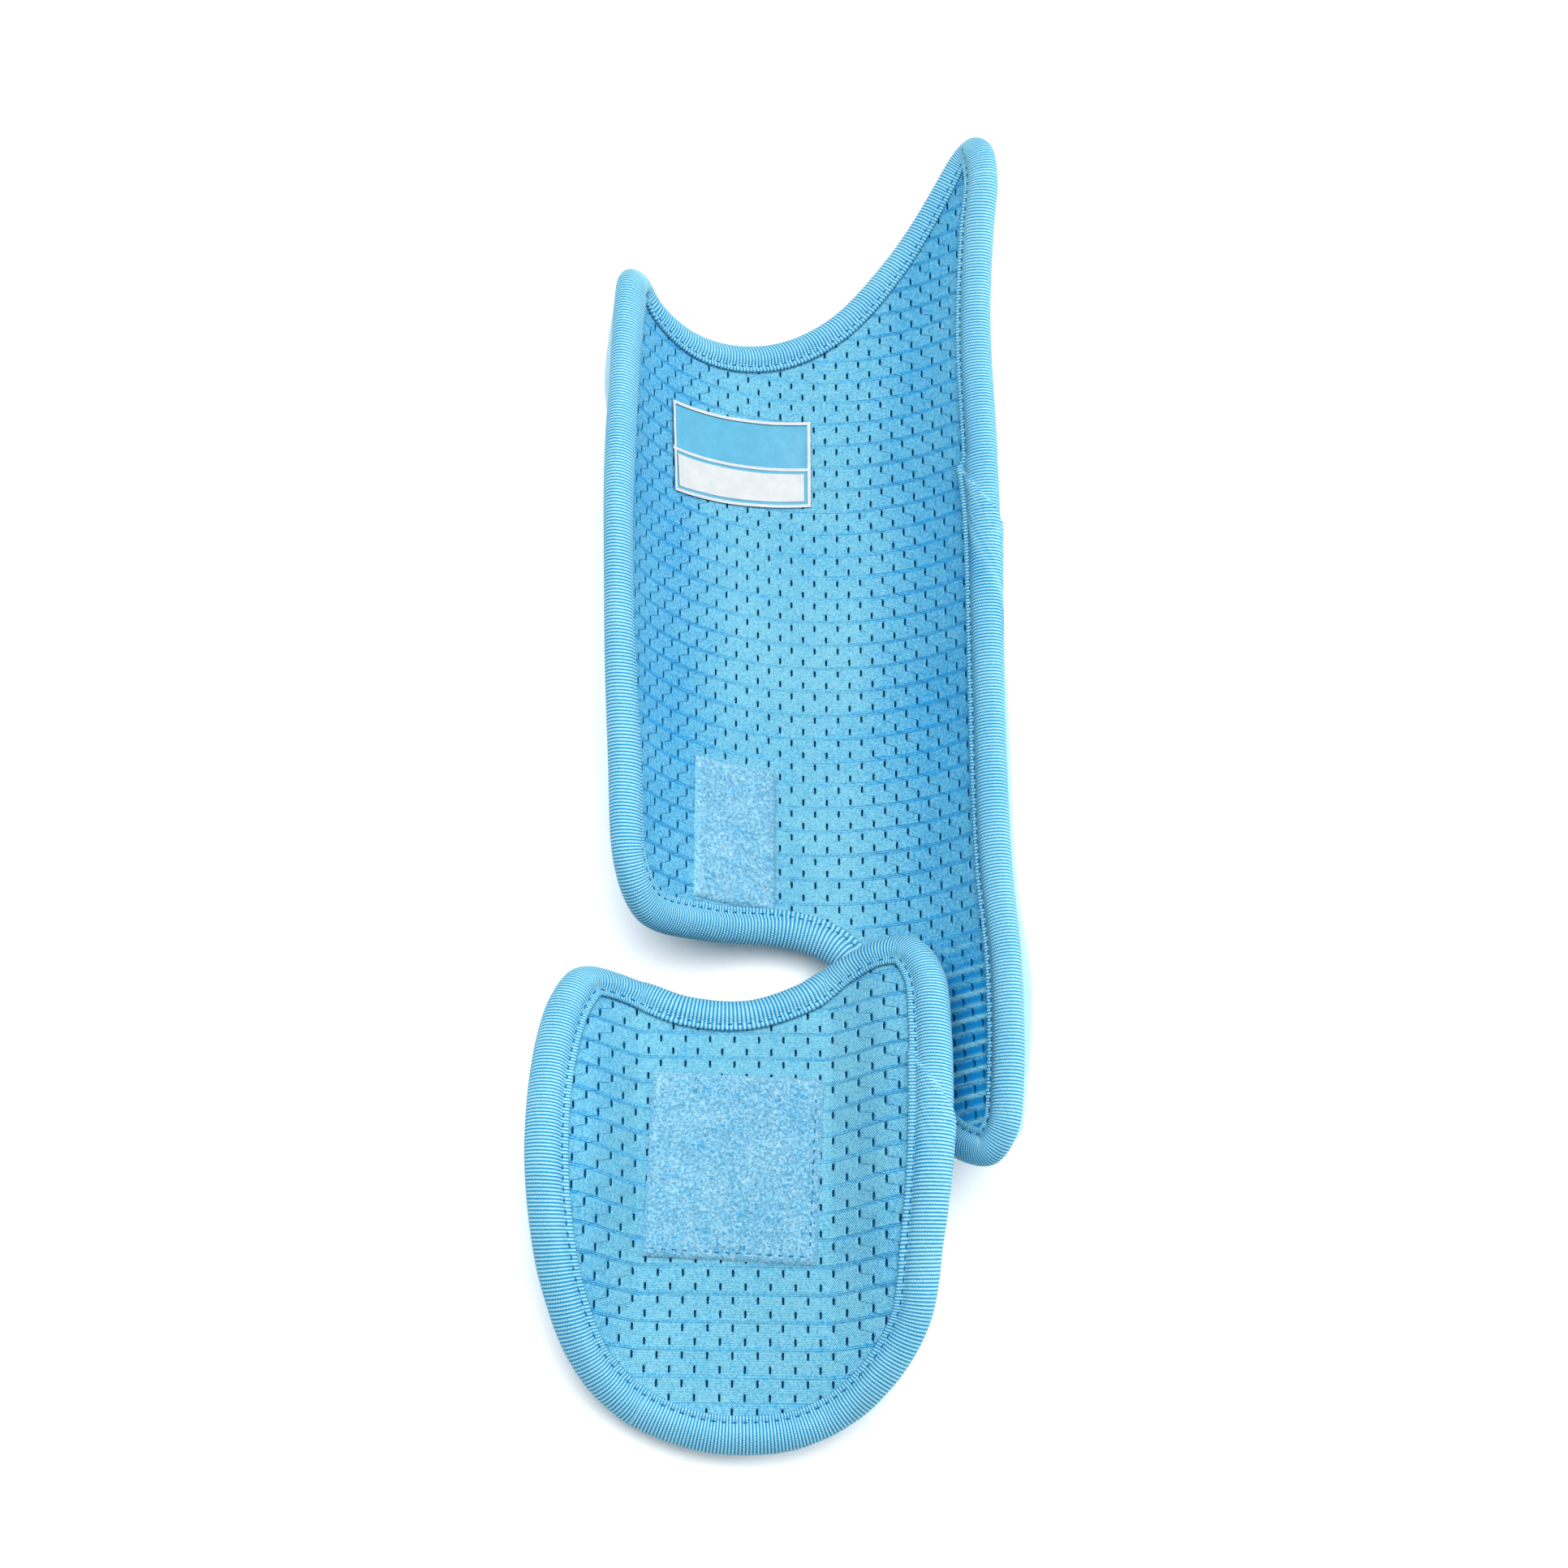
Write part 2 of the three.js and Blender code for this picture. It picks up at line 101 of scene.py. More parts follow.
# Edge of the shin shell, laid flat: across in half widths, along in lengths from the resting point
SHIN_EDGE = [
    (0.95, 0.586), (0.983, 0.55), (0.95, 0.5), (0.915, 0.4), (0.94, 0.24), (0.94, 0.05),
    (0.955, -0.11), (1.005, -0.21), (0.995, -0.305), (0.953, -0.35), (0.83, -0.371), (0.65, -0.357),
    (0.43, -0.3), (0.27, -0.224), (0.155, -0.178), (0, -0.164), (-0.36, -0.168), (-0.71, -0.17),
    (-0.885, -0.133), (-0.955, -0.04), (-1.05, 0.07), (-1.1, 0.18), (-1.06, 0.29), (-0.995, 0.385),
    (-0.94, 0.418), (-0.83, 0.428), (-0.685, 0.416), (-0.4, 0.405), (-0.1, 0.415), (0.148, 0.444),
    (0.4, 0.499), (0.658, 0.568), (0.749, 0.589), (0.81, 0.597), (0.875, 0.599),
]
SHIN_STRAIGHT_EDGE_ALONG = -0.164

# Whole thickness of the shin shell across it, as a share of SHIN_PAD: across, at the ankle, at the knee
SHIN_THICKNESS = [
    (-1.1, 0.58, 0.92), (-0.7, 0.62, 0.95), (-0.35, 0.95, 1), (-0.15, 1.1, 1.1),
    (0.15, 1.1, 1.1), (0.4, 1.1, 1.02), (0.7, 1.36, 1.1), (1.1, 1.44, 1.1),
]

# Edge of the foot pad in plan: across in half widths, along in lengths from its middle
FOOT_EDGE = [
    (-0.2, -0.531), (-0.48, -0.487), (-0.74, -0.4), (-0.884, -0.278), (-0.96, -0.13), (-0.98, 0.03),
    (-0.947, 0.19), (-0.875, 0.306), (-0.777, 0.371), (-0.64, 0.389), (-0.45, 0.384), (-0.22, 0.352),
    (0.05, 0.347), (0.3, 0.382), (0.5, 0.433), (0.7, 0.456), (0.88, 0.442), (0.985, 0.37),
    (1.01, 0.24), (1.0, 0.03), (0.962, -0.17), (0.903, -0.331), (0.688, -0.449), (0.364, -0.524),
    (0.03, -0.541),
]

# Side walls of the foot pad: across, rise as a share of FOOT_WALL_RISE
FOOT_WALL = [(0, 0), (0.44, 0.005), (0.55, 0.2), (0.7, 0.6), (0.85, 0.87), (1.02, 1.1)]
FOOT_WALL_ALONG = [(-0.54, 0.15), (-0.42, 0.4), (-0.24, 0.75), (0, 1), (0.28, 0.86), (0.48, 0.72)]

# Section of the edge tape from its hem over the roll to its back leg: inset from the edge, and lift
TAPE_SECTION = [
    (TAPE_LEG - 0.3, 0.02), (TAPE_LEG, 0.5), (TAPE_LEG - 0.25, 1.15), (TAPE_LEG - 0.85, 1.38),
    (TAPE_LEG - 1.4, 1.05), (TAPE_LEG - 1.8, 0.75), (TAPE_LEG - 2.4, 1.05), (TAPE_LEG - 3.4, 1.75),
    (TAPE_LEG * 0.55, TAPE_TOP), (TAPE_LEG * 0.38, 1.95), (TAPE_LEG * 0.2, 0.95),
    (TAPE_LEG * 0.06, -0.6), (0, -EDGE_STACK * 0.5), (0.35, -EDGE_STACK * 0.85),
    (TAPE_BACK_LEG * 0.35, -EDGE_STACK - 0.7), (TAPE_BACK_LEG * 0.8, -EDGE_STACK - 1.35),
    (TAPE_BACK_LEG, -EDGE_STACK - 0.95), (TAPE_BACK_LEG + 0.1, -EDGE_STACK - 0.1),
]
STITCH_INSET = TAPE_LEG - 1.85
STITCH_LIFT = 0.95
STITCH_PATH_CUTS = 900

# How the shells are measured: reach of a direction and of a slope, path step, points at a time and at rest
EDGE_REACH = 1.5
SLOPE_REACH = 0.2
PATH_STEP = 4
POINT_BATCH = 4000
SEAT_CUTS = 400


def smooth_table(rows, value_column=1):
    """A smooth curve through a table's rows that adds no bumps between them."""
    x = np.array([row[0] for row in rows], float)
    y = np.array([row[value_column] for row in rows], float)
    step = np.diff(y) / np.diff(x)
    product = step[:-1] * step[1:]
    total = np.where(product > 0, step[:-1] + step[1:], 1)
    slope = np.concatenate([step[:1], np.where(product > 0, 2 * product / total, 0), step[-1:]])

    def value(at):
        at = np.clip(at, x[0], x[-1])
        i = np.clip(np.searchsorted(x, at) - 1, 0, len(x) - 2)
        span = x[i + 1] - x[i]
        rise = y[i + 1] - y[i]
        t = (at - x[i]) / span
        bend = slope[i] * span - rise
        counter = rise - slope[i + 1] * span
        return y[i] + rise * t + t * (1 - t) * (bend * (1 - t) + counter * t)

    return value


def curve_through(corners, closed, cuts=40):
    """Dense points of the centripetal curve through the corners."""
    p = np.array(corners, float)
    if not closed:
        p = np.vstack([2 * p[:1] - p[1:2], p, 2 * p[-1:] - p[-2:-1]])
    a, b, c, d = (np.roll(p, -k, 0) for k in range(4))
    if not closed:
        a, b, c, d = (q[:-3] for q in (a, b, c, d))
    first, middle, last = (np.sqrt(np.linalg.norm(q, axis=1))[:, None] for q in (b - a, c - b, d - c))
    leave = ((b - a) / first - (c - a) / (first + middle) + (c - b) / middle) * middle
    arrive = ((c - b) / middle - (d - b) / (middle + last) + (d - c) / last) * middle
    t = np.linspace(0, 1, cuts, endpoint=False)[:, None, None]
    bend = 3 * (c - b) - 2 * leave - arrive
    twist = 2 * (b - c) + leave + arrive
    points = b + leave * t + bend * t**2 + twist * t**3
    points = points.transpose(1, 0, 2).reshape(-1, p.shape[1])
    return points if closed else np.vstack([points, p[-2:-1]])


def evenly_spaced(points, count, closed):
    """Count points at even steps along a path."""
    path = np.vstack([points, points[:1]]) if closed else points
    way = np.concatenate([[0], np.cumsum(np.linalg.norm(np.diff(path, axis=0), axis=1))])
    at = np.linspace(0, way[-1], count, endpoint=not closed)
    return np.stack([np.interp(at, way, path[:, k]) for k in range(path.shape[1])], 1)


def smoothstep(value, low, high):
    t = np.clip((value - low) / (high - low), 0, 1)
    return t * t * (3 - 2 * t)


class Shell:
    """One padded part of the guard: its flat edge, and the curved face that its flat points lie on."""

    def __init__(self, name, rows, half_width, length):
        self.name = name
        self.half_width = half_width
        self.path = curve_through([(across * half_width, along * length) for across, along in rows], True)
        closed_path = np.vstack([self.path, self.path[:1]])
        self.around = np.linalg.norm(np.diff(closed_path, axis=0), axis=1).sum()

    def edge(self, count):
        """Evenly spaced edge points, and the inward direction at each."""
        points = evenly_spaced(self.path, count, True)
        reach = max(1, round(EDGE_REACH * count / self.around))
        along = np.roll(points, -reach, 0) - np.roll(points, reach, 0)
        along /= np.linalg.norm(along, axis=1, keepdims=True)
        return points, np.stack([along[:, 1], -along[:, 0]], 1)

    def inside_distance(self, points):
        """Distance from flat points to the edge, negative outside it."""
        start = self.path[::PATH_STEP]
        end = np.roll(start, -1, 0)
        span = end - start
        result = np.empty(len(points))
        for at in range(0, len(points), POINT_BATCH):
            p = points[at:at + POINT_BATCH, None, :]
            share = np.clip(((p - start) * span).sum(2) / (span**2).sum(1), 0, 1)
            near = start + share[..., None] * span
            distance = np.sqrt(((p - near) ** 2).sum(2).min(1))
            crosses = (start[:, 1] > p[..., 1]) != (end[:, 1] > p[..., 1])
            height = np.where(span[:, 1] == 0, 1, span[:, 1])
            left = p[..., 0] < start[:, 0] + span[:, 0] * (p[..., 1] - start[:, 1]) / height
            inside = (crosses & left).sum(1) % 2 == 1
            result[at:at + POINT_BATCH] = np.where(inside, distance, -distance)
        return result

    def pad_depth(self, points, whole):
        """Padding behind the lining's face: thin under the tape, then rounded up to its whole thickness."""
        way = np.clip((self.inside_distance(points) - TAPE_BACK_LEG - PLY_GAP) / PAD_ROUNDING, 0, 1)
        whole = np.maximum(whole, EDGE_STACK)
        return EDGE_STACK + (whole - EDGE_STACK) * np.sin(way * math.pi / 2)


class ShinShell(Shell):
    """A trough whose inside is round."""

    def __init__(self):
        super().__init__("shin", SHIN_EDGE, SHIN_FLAT_WIDTH / 2, SHIN_LENGTH)
        self.ankle_pad = smooth_table(SHIN_THICKNESS, 1)
        self.knee_pad = smooth_table(SHIN_THICKNESS, 2)

    def face(self, points, lift):
        """The flat points on the lining's face, lifted off it."""
        turn = points[:, 0] / SHIN_RADIUS
        radius = SHIN_RADIUS - lift
        height = SHIN_PAD + SHIN_RADIUS - radius * np.cos(turn)
        return np.stack([radius * np.sin(turn), points[:, 1], height], 1)

    def outer(self, points, proud=0):
        """The flat points on the outer side, which is flat where it rests on the floor."""
        across = points[:, 0] / self.half_width
        kneeward = smoothstep(points[:, 1] / SHIN_LENGTH, KNEE_PAD_FROM, KNEE_PAD_TO)
        share = self.ankle_pad(across) * (1 - kneeward) + self.knee_pad(across) * kneeward
        placed = self.face(points, -self.pad_depth(points, SHIN_PAD * share) - proud)
        placed[:, 2] = np.maximum(placed[:, 2], 0)
        return placed


class FootShell(Shell):
    """A tray with side walls and a low arch, below the shin shell and rolled against its lobe."""

    def __init__(self):
        super().__init__("foot", FOOT_EDGE, FOOT_WIDTH / 2, FOOT_LENGTH)
        self.wall = smooth_table(FOOT_WALL)
        self.wall_along = smooth_table(FOOT_WALL_ALONG)
        self.arch_reach = FOOT_ARCH_TOP * FOOT_LENGTH - min(along for _, along in FOOT_EDGE) * FOOT_LENGTH
        top = self.path[:, 1].max()
        shin_edge = SHIN_STRAIGHT_EDGE_ALONG * SHIN_LENGTH
        self.place = np.array([-FOOT_SIDE_SHIFT, shin_edge - FOOT_TOP_GAP - top, 0.0])
        points, inward = self.edge(SEAT_CUTS)
        lows = [self.face(points + inward * inset, lift)[:, 2].min() for inset, lift in TAPE_SECTION]
        self.place[2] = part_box("foot_binding")[0][2] / MM - min(lows)

    def height(self, x, y):
        wall = FOOT_WALL_RISE * self.wall(np.abs(x) / self.half_width) * self.wall_along(y / FOOT_LENGTH)
        return wall - FOOT_ARCH_DROP * ((y - FOOT_ARCH_TOP * FOOT_LENGTH) / self.arch_reach) ** 2

    def face(self, points, lift):
        x, y = points[:, 0], points[:, 1]
        reach = SLOPE_REACH
        slope_x = (self.height(x + reach, y) - self.height(x - reach, y)) / (2 * reach)
        slope_y = (self.height(x, y + reach) - self.height(x, y - reach)) / (2 * reach)
        size = np.sqrt(slope_x**2 + slope_y**2 + 1)
        x = x - slope_x / size * lift
        y = y - slope_y / size * lift
        z = self.height(points[:, 0], points[:, 1]) + lift / size
        cos, sin = math.cos(FOOT_ROLL), math.sin(FOOT_ROLL)
        return np.stack([x * cos - z * sin, y, x * sin + z * cos], 1) + self.place

    def outer(self, points, proud=0):
        return self.face(points, -self.pad_depth(points, FOOT_PAD) - proud)


def add_object(name, data):
    """A new object in the scene."""
    made = bpy.data.objects.new(name, data)
    bpy.context.scene.collection.objects.link(made)
    return made


def make_piece(name, points, faces, materials, flat=None, face_material=None, smooth=True):
    """A mesh from points in millimetres. Flat holds two flat coordinates for each point or face corner."""
    mesh = bpy.data.meshes.new(name)
    mesh.from_pydata((np.asarray(points) * MM).tolist(), [], faces)
    mesh.polygons.foreach_set("use_smooth", np.full(len(faces), smooth))
    if flat is not None:
        flat = np.asarray(flat, np.float32)
        if len(flat) == len(mesh.vertices):
            corners = np.empty(len(mesh.loops), np.int32)
            mesh.loops.foreach_get("vertex_index", corners)
            flat = flat[corners]
        mesh.uv_layers.new(name="flat").uv.foreach_set("vector", flat.ravel())
    for material in materials:
        mesh.materials.append(material)
    if face_material is not None:
        mesh.polygons.foreach_set("material_index", face_material)
    mesh.update()
    piece = add_object(name, mesh)
    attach(piece, "root")
    return piece


def strip_faces(rings, count, wrap):
    """Squares between rings of count points each, and each corner's place along and across the strip."""
    last = count if wrap else count - 1
    ring, i = np.meshgrid(np.arange(rings - 1), np.arange(last), indexing="ij")
    ring, i = ring.ravel(), i.ravel()
    along = np.stack([i, i + 1, i + 1, i], 1)
    across = np.stack([ring, ring, ring + 1, ring + 1], 1)
    faces = across * count + along % count
    return faces, along.ravel(), across.ravel()


class Finish:
    """A procedural material, built up as an expression of node sockets."""

    def __init__(self, name, roughness, sheen=0.0, sheen_roughness=0.5):
        self.material = bpy.data.materials.new(name)
        self.material.use_nodes = True
        self.tree = self.material.node_tree
        self.shader = self.tree.nodes["Principled BSDF"]
        self.shader.inputs["Roughness"].default_value = roughness
        self.shader.inputs["Sheen Weight"].default_value = sheen
        self.shader.inputs["Sheen Roughness"].default_value = sheen_roughness
        self.shader.inputs["Specular IOR Level"].default_value = 0.3

    def feed(self, socket, value):
        if isinstance(value, bpy.types.NodeSocket):
            self.tree.links.new(value, socket)
        else:
            socket.default_value = value

    def math(self, operation, *values):
        node = self.tree.nodes.new("ShaderNodeMath")
        node.operation = operation
        for socket, value in zip(node.inputs, values):
            self.feed(socket, value)
        return node.outputs[0]

    def flat(self):
        """The two flat coordinates of the surface, in millimetres."""
        source = self.tree.nodes.new("ShaderNodeUVMap")
        source.uv_map = "flat"
        parts = self.tree.nodes.new("ShaderNodeSeparateXYZ")
        self.feed(parts.inputs[0], source.outputs[0])
        return parts.outputs[0], parts.outputs[1]

    def noise(self, size, detail=2.0, rough=0.6):
        """Noise from 0 to 1 whose patches are about size metres across."""
        node = self.tree.nodes.new("ShaderNodeTexNoise")
        node.inputs["Scale"].default_value = 1 / size
        node.inputs["Detail"].default_value = detail
        node.inputs["Roughness"].default_value = rough
        place = self.tree.nodes.new("ShaderNodeTexCoord").outputs["Object"]
        self.feed(node.inputs["Vector"], place)
        return node.outputs["Fac"]

    def wave(self, value, pitch):
        """A wave from 0 to 1 along a flat coordinate."""
        sine = self.math("SINE", self.math("MULTIPLY", value, TURN / pitch))
        return self.math("MULTIPLY_ADD", sine, 0.5, 0.5)

    def total(self, *parts):
        """The sum of the parts, each given as its weight and its value."""
        result = 0.0
        for weight, value in parts:
            result = self.math("MULTIPLY_ADD", value, weight, result)
        return result

    def ramp(self, value, low, high, to_low=0.0, to_high=1.0):
        """A soft rise from to_low to to_high as the value goes from low to high."""
        node = self.tree.nodes.new("ShaderNodeMapRange")
        node.interpolation_type = "SMOOTHSTEP"
        for socket, number in zip(node.inputs, (value, low, high, to_low, to_high)):
            self.feed(socket, number)
        return node.outputs[0]

    def mix(self, share, first, second):
        """The first colour where the share is 0, the second where it is 1."""
        node = self.tree.nodes.new("ShaderNodeMix")
        node.data_type = "RGBA"
        self.feed(node.inputs[0], share)
        self.feed(node.inputs[6], (*first, 1))
        self.feed(node.inputs[7], (*second, 1))
        return node.outputs[2]

    def paint(self, light, low, high, deep, pale):
        """Base colour, from deep where the light value is low to pale where it is high."""
        self.colour(self.mix(self.ramp(light, low, high), deep, pale))

    def colour(self, value):
        self.feed(self.shader.inputs["Base Color"], value)

    def bump(self, height, depth):
        """Bump whose height runs over depth metres."""
        node = self.tree.nodes.new("ShaderNodeBump")
        node.inputs["Distance"].default_value = depth
        self.feed(node.inputs["Height"], height)
        self.feed(self.shader.inputs["Normal"], node.outputs[0])


# Colours, as linear values
# MESH_DEEP carries painted shade on the shin's side walls and in the lobe, and MESH_LIGHT painted highlights
# on the lobe's ridges. TAPE_DEEP carries painted shade in the rib grooves, and SLIT_BLUE is painted shadow
# in the slits.
MESH_LIGHT = (0.29, 0.58, 0.66)
MESH_DEEP = (0.003, 0.28, 0.57)
TAPE_LIGHT = (0.35, 0.58, 0.62)
TAPE_DEEP = (0.004, 0.24, 0.48)
COVER_LIGHT = (0.42, 0.62, 0.73)
COVER_DEEP = (0.2, 0.46, 0.64)
FUZZ_LIGHT = (0.49, 0.68, 0.72)
FUZZ_DEEP = (0.03, 0.33, 0.57)
SLIT_BLUE = (0.006, 0.11, 0.22)
THREAD_SHADE_BLUE = (0.015, 0.15, 0.3)
INK_WHITE = (0.54, 0.55, 0.555)
FILM_BLUE = (0.14, 0.38, 0.51)
PAPER_WHITE = (0.93, 0.93, 0.93)

# Pitches of the knit mesh, in millimetres
COURSE_PITCH = 0.47
WALE_PITCH = 0.5
WALE_SLANT = 0.6
GROOVE_PITCH = 0.62

# Where the mesh is stretched sideways its slits pull into steps
STEP_CORE = 0.08
STEP_WIDTH = 0.27

# Grooves run in bands on each second row, fainter in the middle: band half height, core and edge
BAND_CORE = 0.55
BAND_EDGE = 0.9
BAND_MIDDLE = 5
# How far up from the lobe its painted shade and painted ridge highlights fade out
LOBE_SHADE_FADE = 40


def lining_finish(name, steps_from, steps_to, side_shade_strength, lobe_below):
    """Knit mesh: fine courses, bands of grooves on each second row, stepped lines from slit to slit, painted
    shade on the side walls, and on the lobe painted shade with painted highlights on its ridges.
    """
    f = Finish(name, roughness=0.75, sheen=0.08)
    x, y = f.flat()
    sideways = f.math("ABSOLUTE", x)
    row = f.math("ROUND", f.math("DIVIDE", y, ROW_PITCH))
    up = f.math("SUBTRACT", y, f.math("MULTIPLY", row, ROW_PITCH))
    shift = f.math("MULTIPLY", f.math("FLOORED_MODULO", row, 2.0), 0.5)
    share = f.math("SUBTRACT", f.math("DIVIDE", x, SLIT_PITCH), shift)
    across = f.math("MULTIPLY", f.math("SUBTRACT", share, f.math("ROUND", share)), SLIT_PITCH)
    run = f.ramp(f.math("ABSOLUTE", up), SLIT_HALF_HEIGHT, ROW_PITCH / 2, 0.0, SLIT_PITCH / 4)
    side = f.math("MULTIPLY", f.math("SIGN", up), f.math("SIGN", x))
    away = f.math("ABSOLUTE", f.math("ADD", across, f.math("MULTIPLY", side, run)))
    stretched = f.ramp(sideways, steps_from, steps_to, 0.1, 1.0)
    step_line = f.math("MULTIPLY", f.ramp(away, STEP_CORE, STEP_WIDTH, 1.0, 0.0), stretched)

    in_pair = f.math("FLOORED_MODULO", y, 2 * ROW_PITCH)
    from_band = f.math("ABSOLUTE", f.math("SUBTRACT", in_pair, ROW_PITCH / 2))
    in_band = f.ramp(from_band, BAND_CORE, BAND_EDGE, 1.0, 0.0)
    band = f.math("MULTIPLY", in_band, f.wave(y, GROOVE_PITCH))
    band = f.math("MULTIPLY", band, f.ramp(sideways, BAND_MIDDLE, steps_to, 0.45, 1.0))
    # Painted light on the lobe: its mesh is painted darker as shade, and lighter along each ridge as a
    # painted highlight.
    ridge = f.wave(f.math("ADD", y, 0.75 * ROW_PITCH), ROW_PITCH)
    lobe_shade_mask = f.ramp(y, lobe_below, lobe_below + LOBE_SHADE_FADE, 1.0, 0.0)
    lobe = f.math("MULTIPLY", lobe_shade_mask, f.math("MULTIPLY_ADD", ridge, 1.1, -0.75))
    wale = f.wave(f.total((1.0, x), (WALE_SLANT, y)), WALE_PITCH)
    knit = f.total((0.5, f.wave(y, COURSE_PITCH)), (0.5, wale))
    grain = f.noise(size=0.0007, detail=3.0)
    cloud = f.noise(size=0.035)
    # Painted shade: the mesh is painted darker towards the side walls, which get less light.
    sides = f.ramp(sideways, steps_from, steps_to, 0.0, side_shade_strength)

    cloth = f.total((1.3, grain), (0.45, knit), (0.3, cloud))
    light = f.total((1.0, cloth), (-0.4, band), (-0.45, step_line), (-1.0, sides), (1.0, lobe))
    f.paint(light, 0.38, 1.36, MESH_DEEP, MESH_LIGHT)
    f.bump(f.total((1.0, knit), (1.0, grain), (-0.7, band), (-1.2, step_line)), depth=0.00022)
    return f.material


def pit_finish():
    """The shadowed inside of the slits."""
    f = Finish("slit_shadow", roughness=0.9)
    f.colour(f.mix(f.noise(size=0.0004), SLIT_BLUE, tuple(1.6 * c for c in SLIT_BLUE)))
    return f.material


LOOP_PITCH = 0.7


def tape_finish():
    """Ribbed knit tape: the grooves between the ribs painted darker as shade, small loops along each rib,
    and a slight mottle.
    """
    f = Finish("ribbed_tape", roughness=0.66, sheen=0.06, sheen_roughness=0.4)
    along, across = f.flat()
    # Painted shade: the ribs are painted lighter and the grooves between them darker.
    rib = f.wave(f.math("ADD", along, RIB_PITCH / 4), RIB_PITCH)
    rib_number = f.math("ROUND", f.math("DIVIDE", along, RIB_PITCH))
    loop = f.wave(f.total((1.0, across), (LOOP_PITCH / 2, rib_number)), LOOP_PITCH)
    grain = f.noise(size=0.0006, detail=3.0)
    light = f.total((0.65, rib), (0.4, grain), (0.12, loop), (0.2, f.noise(size=0.02)))
    f.paint(light, 0.28, 1.08, TAPE_DEEP, TAPE_LIGHT)
    f.bump(f.total((0.6, loop), (1.0, grain)), depth=0.00016)
    return f.material


def cover_finish():
    """Smooth stretch cloth of the outer side, with a fine even knit."""
    f = Finish("cover_cloth", roughness=0.55, sheen=0.35, sheen_roughness=0.35)
    x, y = f.flat()
    wale = f.wave(x, pitch=0.8)
    course = f.wave(f.total((1.0, y), (0.5, x)), pitch=0.6)
    knit = f.math("MULTIPLY", wale, course)
    grain = f.noise(size=0.0008, detail=3.0)
    light = f.total((0.25, knit), (0.4, grain), (0.5, f.noise(size=0.05)))
    f.paint(light, 0.15, 0.9, COVER_DEEP, COVER_LIGHT)
    f.bump(f.total((1.0, knit), (1.0, grain)), depth=0.00012)
    return f.material


def fuzz_finish():
    """Loop pile: pale mottled fibres."""
    f = Finish("loop_pile", roughness=0.85, sheen=0.3, sheen_roughness=0.6)
    fine = f.noise(size=0.0008, detail=4.0, rough=0.8)
    patchy = f.noise(size=0.009)
    f.paint(f.total((0.85, fine), (0.1, patchy)), 0.3, 0.68, FUZZ_DEEP, FUZZ_LIGHT)
    f.bump(fine, depth=0.00035)
    return f.material


def thread_finish():
    """Sewing thread, painted dark as the shade of its sunk stitches, a little paler in places."""
    f = Finish("sewing_thread", roughness=0.6)
    f.colour(f.mix(f.noise(size=0.0005), THREAD_SHADE_BLUE, tuple(1.5 * c for c in THREAD_SHADE_BLUE)))
    return f.material


def print_finish(name, colour, roughness):
    """Printed film on the lining, with faint creases, painted a little darker in their hollows as shade."""
    f = Finish(name, roughness)
    crease = f.noise(size=0.004, detail=4.0)
    # Painted shade: the colour is a little darker where the creases run low.
    f.paint(crease, 0.35, 0.7, tuple(0.93 * c for c in colour), colour)
    f.bump(crease, depth=0.0002)
    return f.material


WEAVE_PITCH = 1.2


def web_finish():
    """Plain woven web."""
    f = Finish("web_weave", roughness=0.7, sheen=0.2)
    along, across = f.flat()
    weave = f.math("MULTIPLY", f.wave(along, WEAVE_PITCH), f.wave(across, WEAVE_PITCH))
    light = f.total((0.6, weave), (0.5, f.noise(size=0.0008, detail=3.0)))
    f.paint(light, 0.1, 0.9, MESH_DEEP, MESH_LIGHT)
    f.bump(weave, depth=0.0002)
    return f.material


def paper_finish():
    """Matt paper, even but for a trace of cloud."""
    f = Finish("floor_paper", roughness=0.9)
    f.colour(f.mix(f.noise(size=0.4), PAPER_WHITE, tuple(0.995 * c for c in PAPER_WHITE)))
    return f.material


# Tile of the mesh: lattice places (column, row) round one slit, then the slit's rim and its floor
LATTICE = [(k, r) for r in range(-2, 3) for k in range(-4, 5) if k or abs(r) > 1]
RIM = [(0, -1), (1, -0.74), (1, 0), (1, 0.74), (0, 1), (-1, 0.74), (-1, 0), (-1, -0.74)]
FLOOR_SHARE = 0.75


def tile_faces():
    """Faces of one tile as indices into the lattice, rim and floor points, and True for each in the slit."""
    at = {place: i for i, place in enumerate(LATTICE)}
    count = len(RIM)
    rim = [len(LATTICE) + i for i in range(count)]
    floor = [i + count for i in rim]
    faces = []
    for k in (-4, -3, -2, 1, 2, 3):
        for r in range(-2, 2):
            faces.append([at[k, r], at[k + 1, r], at[k + 1, r + 1], at[k, r + 1]])
    # Round the slit a face joins lattice places to rim points, which are given by their numbers
    ring = [
        [(0, -2), (1, -2), 1, 0], [(1, -2), (1, -1), 1], [(1, -1), (1, 0), 2, 1],
        [(1, 0), (1, 1), 3, 2], [(1, 1), (1, 2), 3], [(1, 2), (0, 2), 4, 3],
        [(0, 2), (-1, 2), 5, 4], [(-1, 2), (-1, 1), 5], [(-1, 1), (-1, 0), 6, 5],
        [(-1, 0), (-1, -1), 7, 6], [(-1, -1), (-1, -2), 7], [(-1, -2), (0, -2), 0, 7],
    ]
    for corners in ring:
        faces.append([at[c] if isinstance(c, tuple) else rim[c] for c in corners])
    open_faces = len(faces)
    for i in range(count):
        after = (i + 1) % count
        faces.append([rim[i], rim[after], floor[after], floor[i]])
    faces.append(floor)
    return faces, [i >= open_faces for i in range(len(faces))]


RIPPLE_WAVES = 6
RIPPLE_SIZES = (0.7, 1.5)


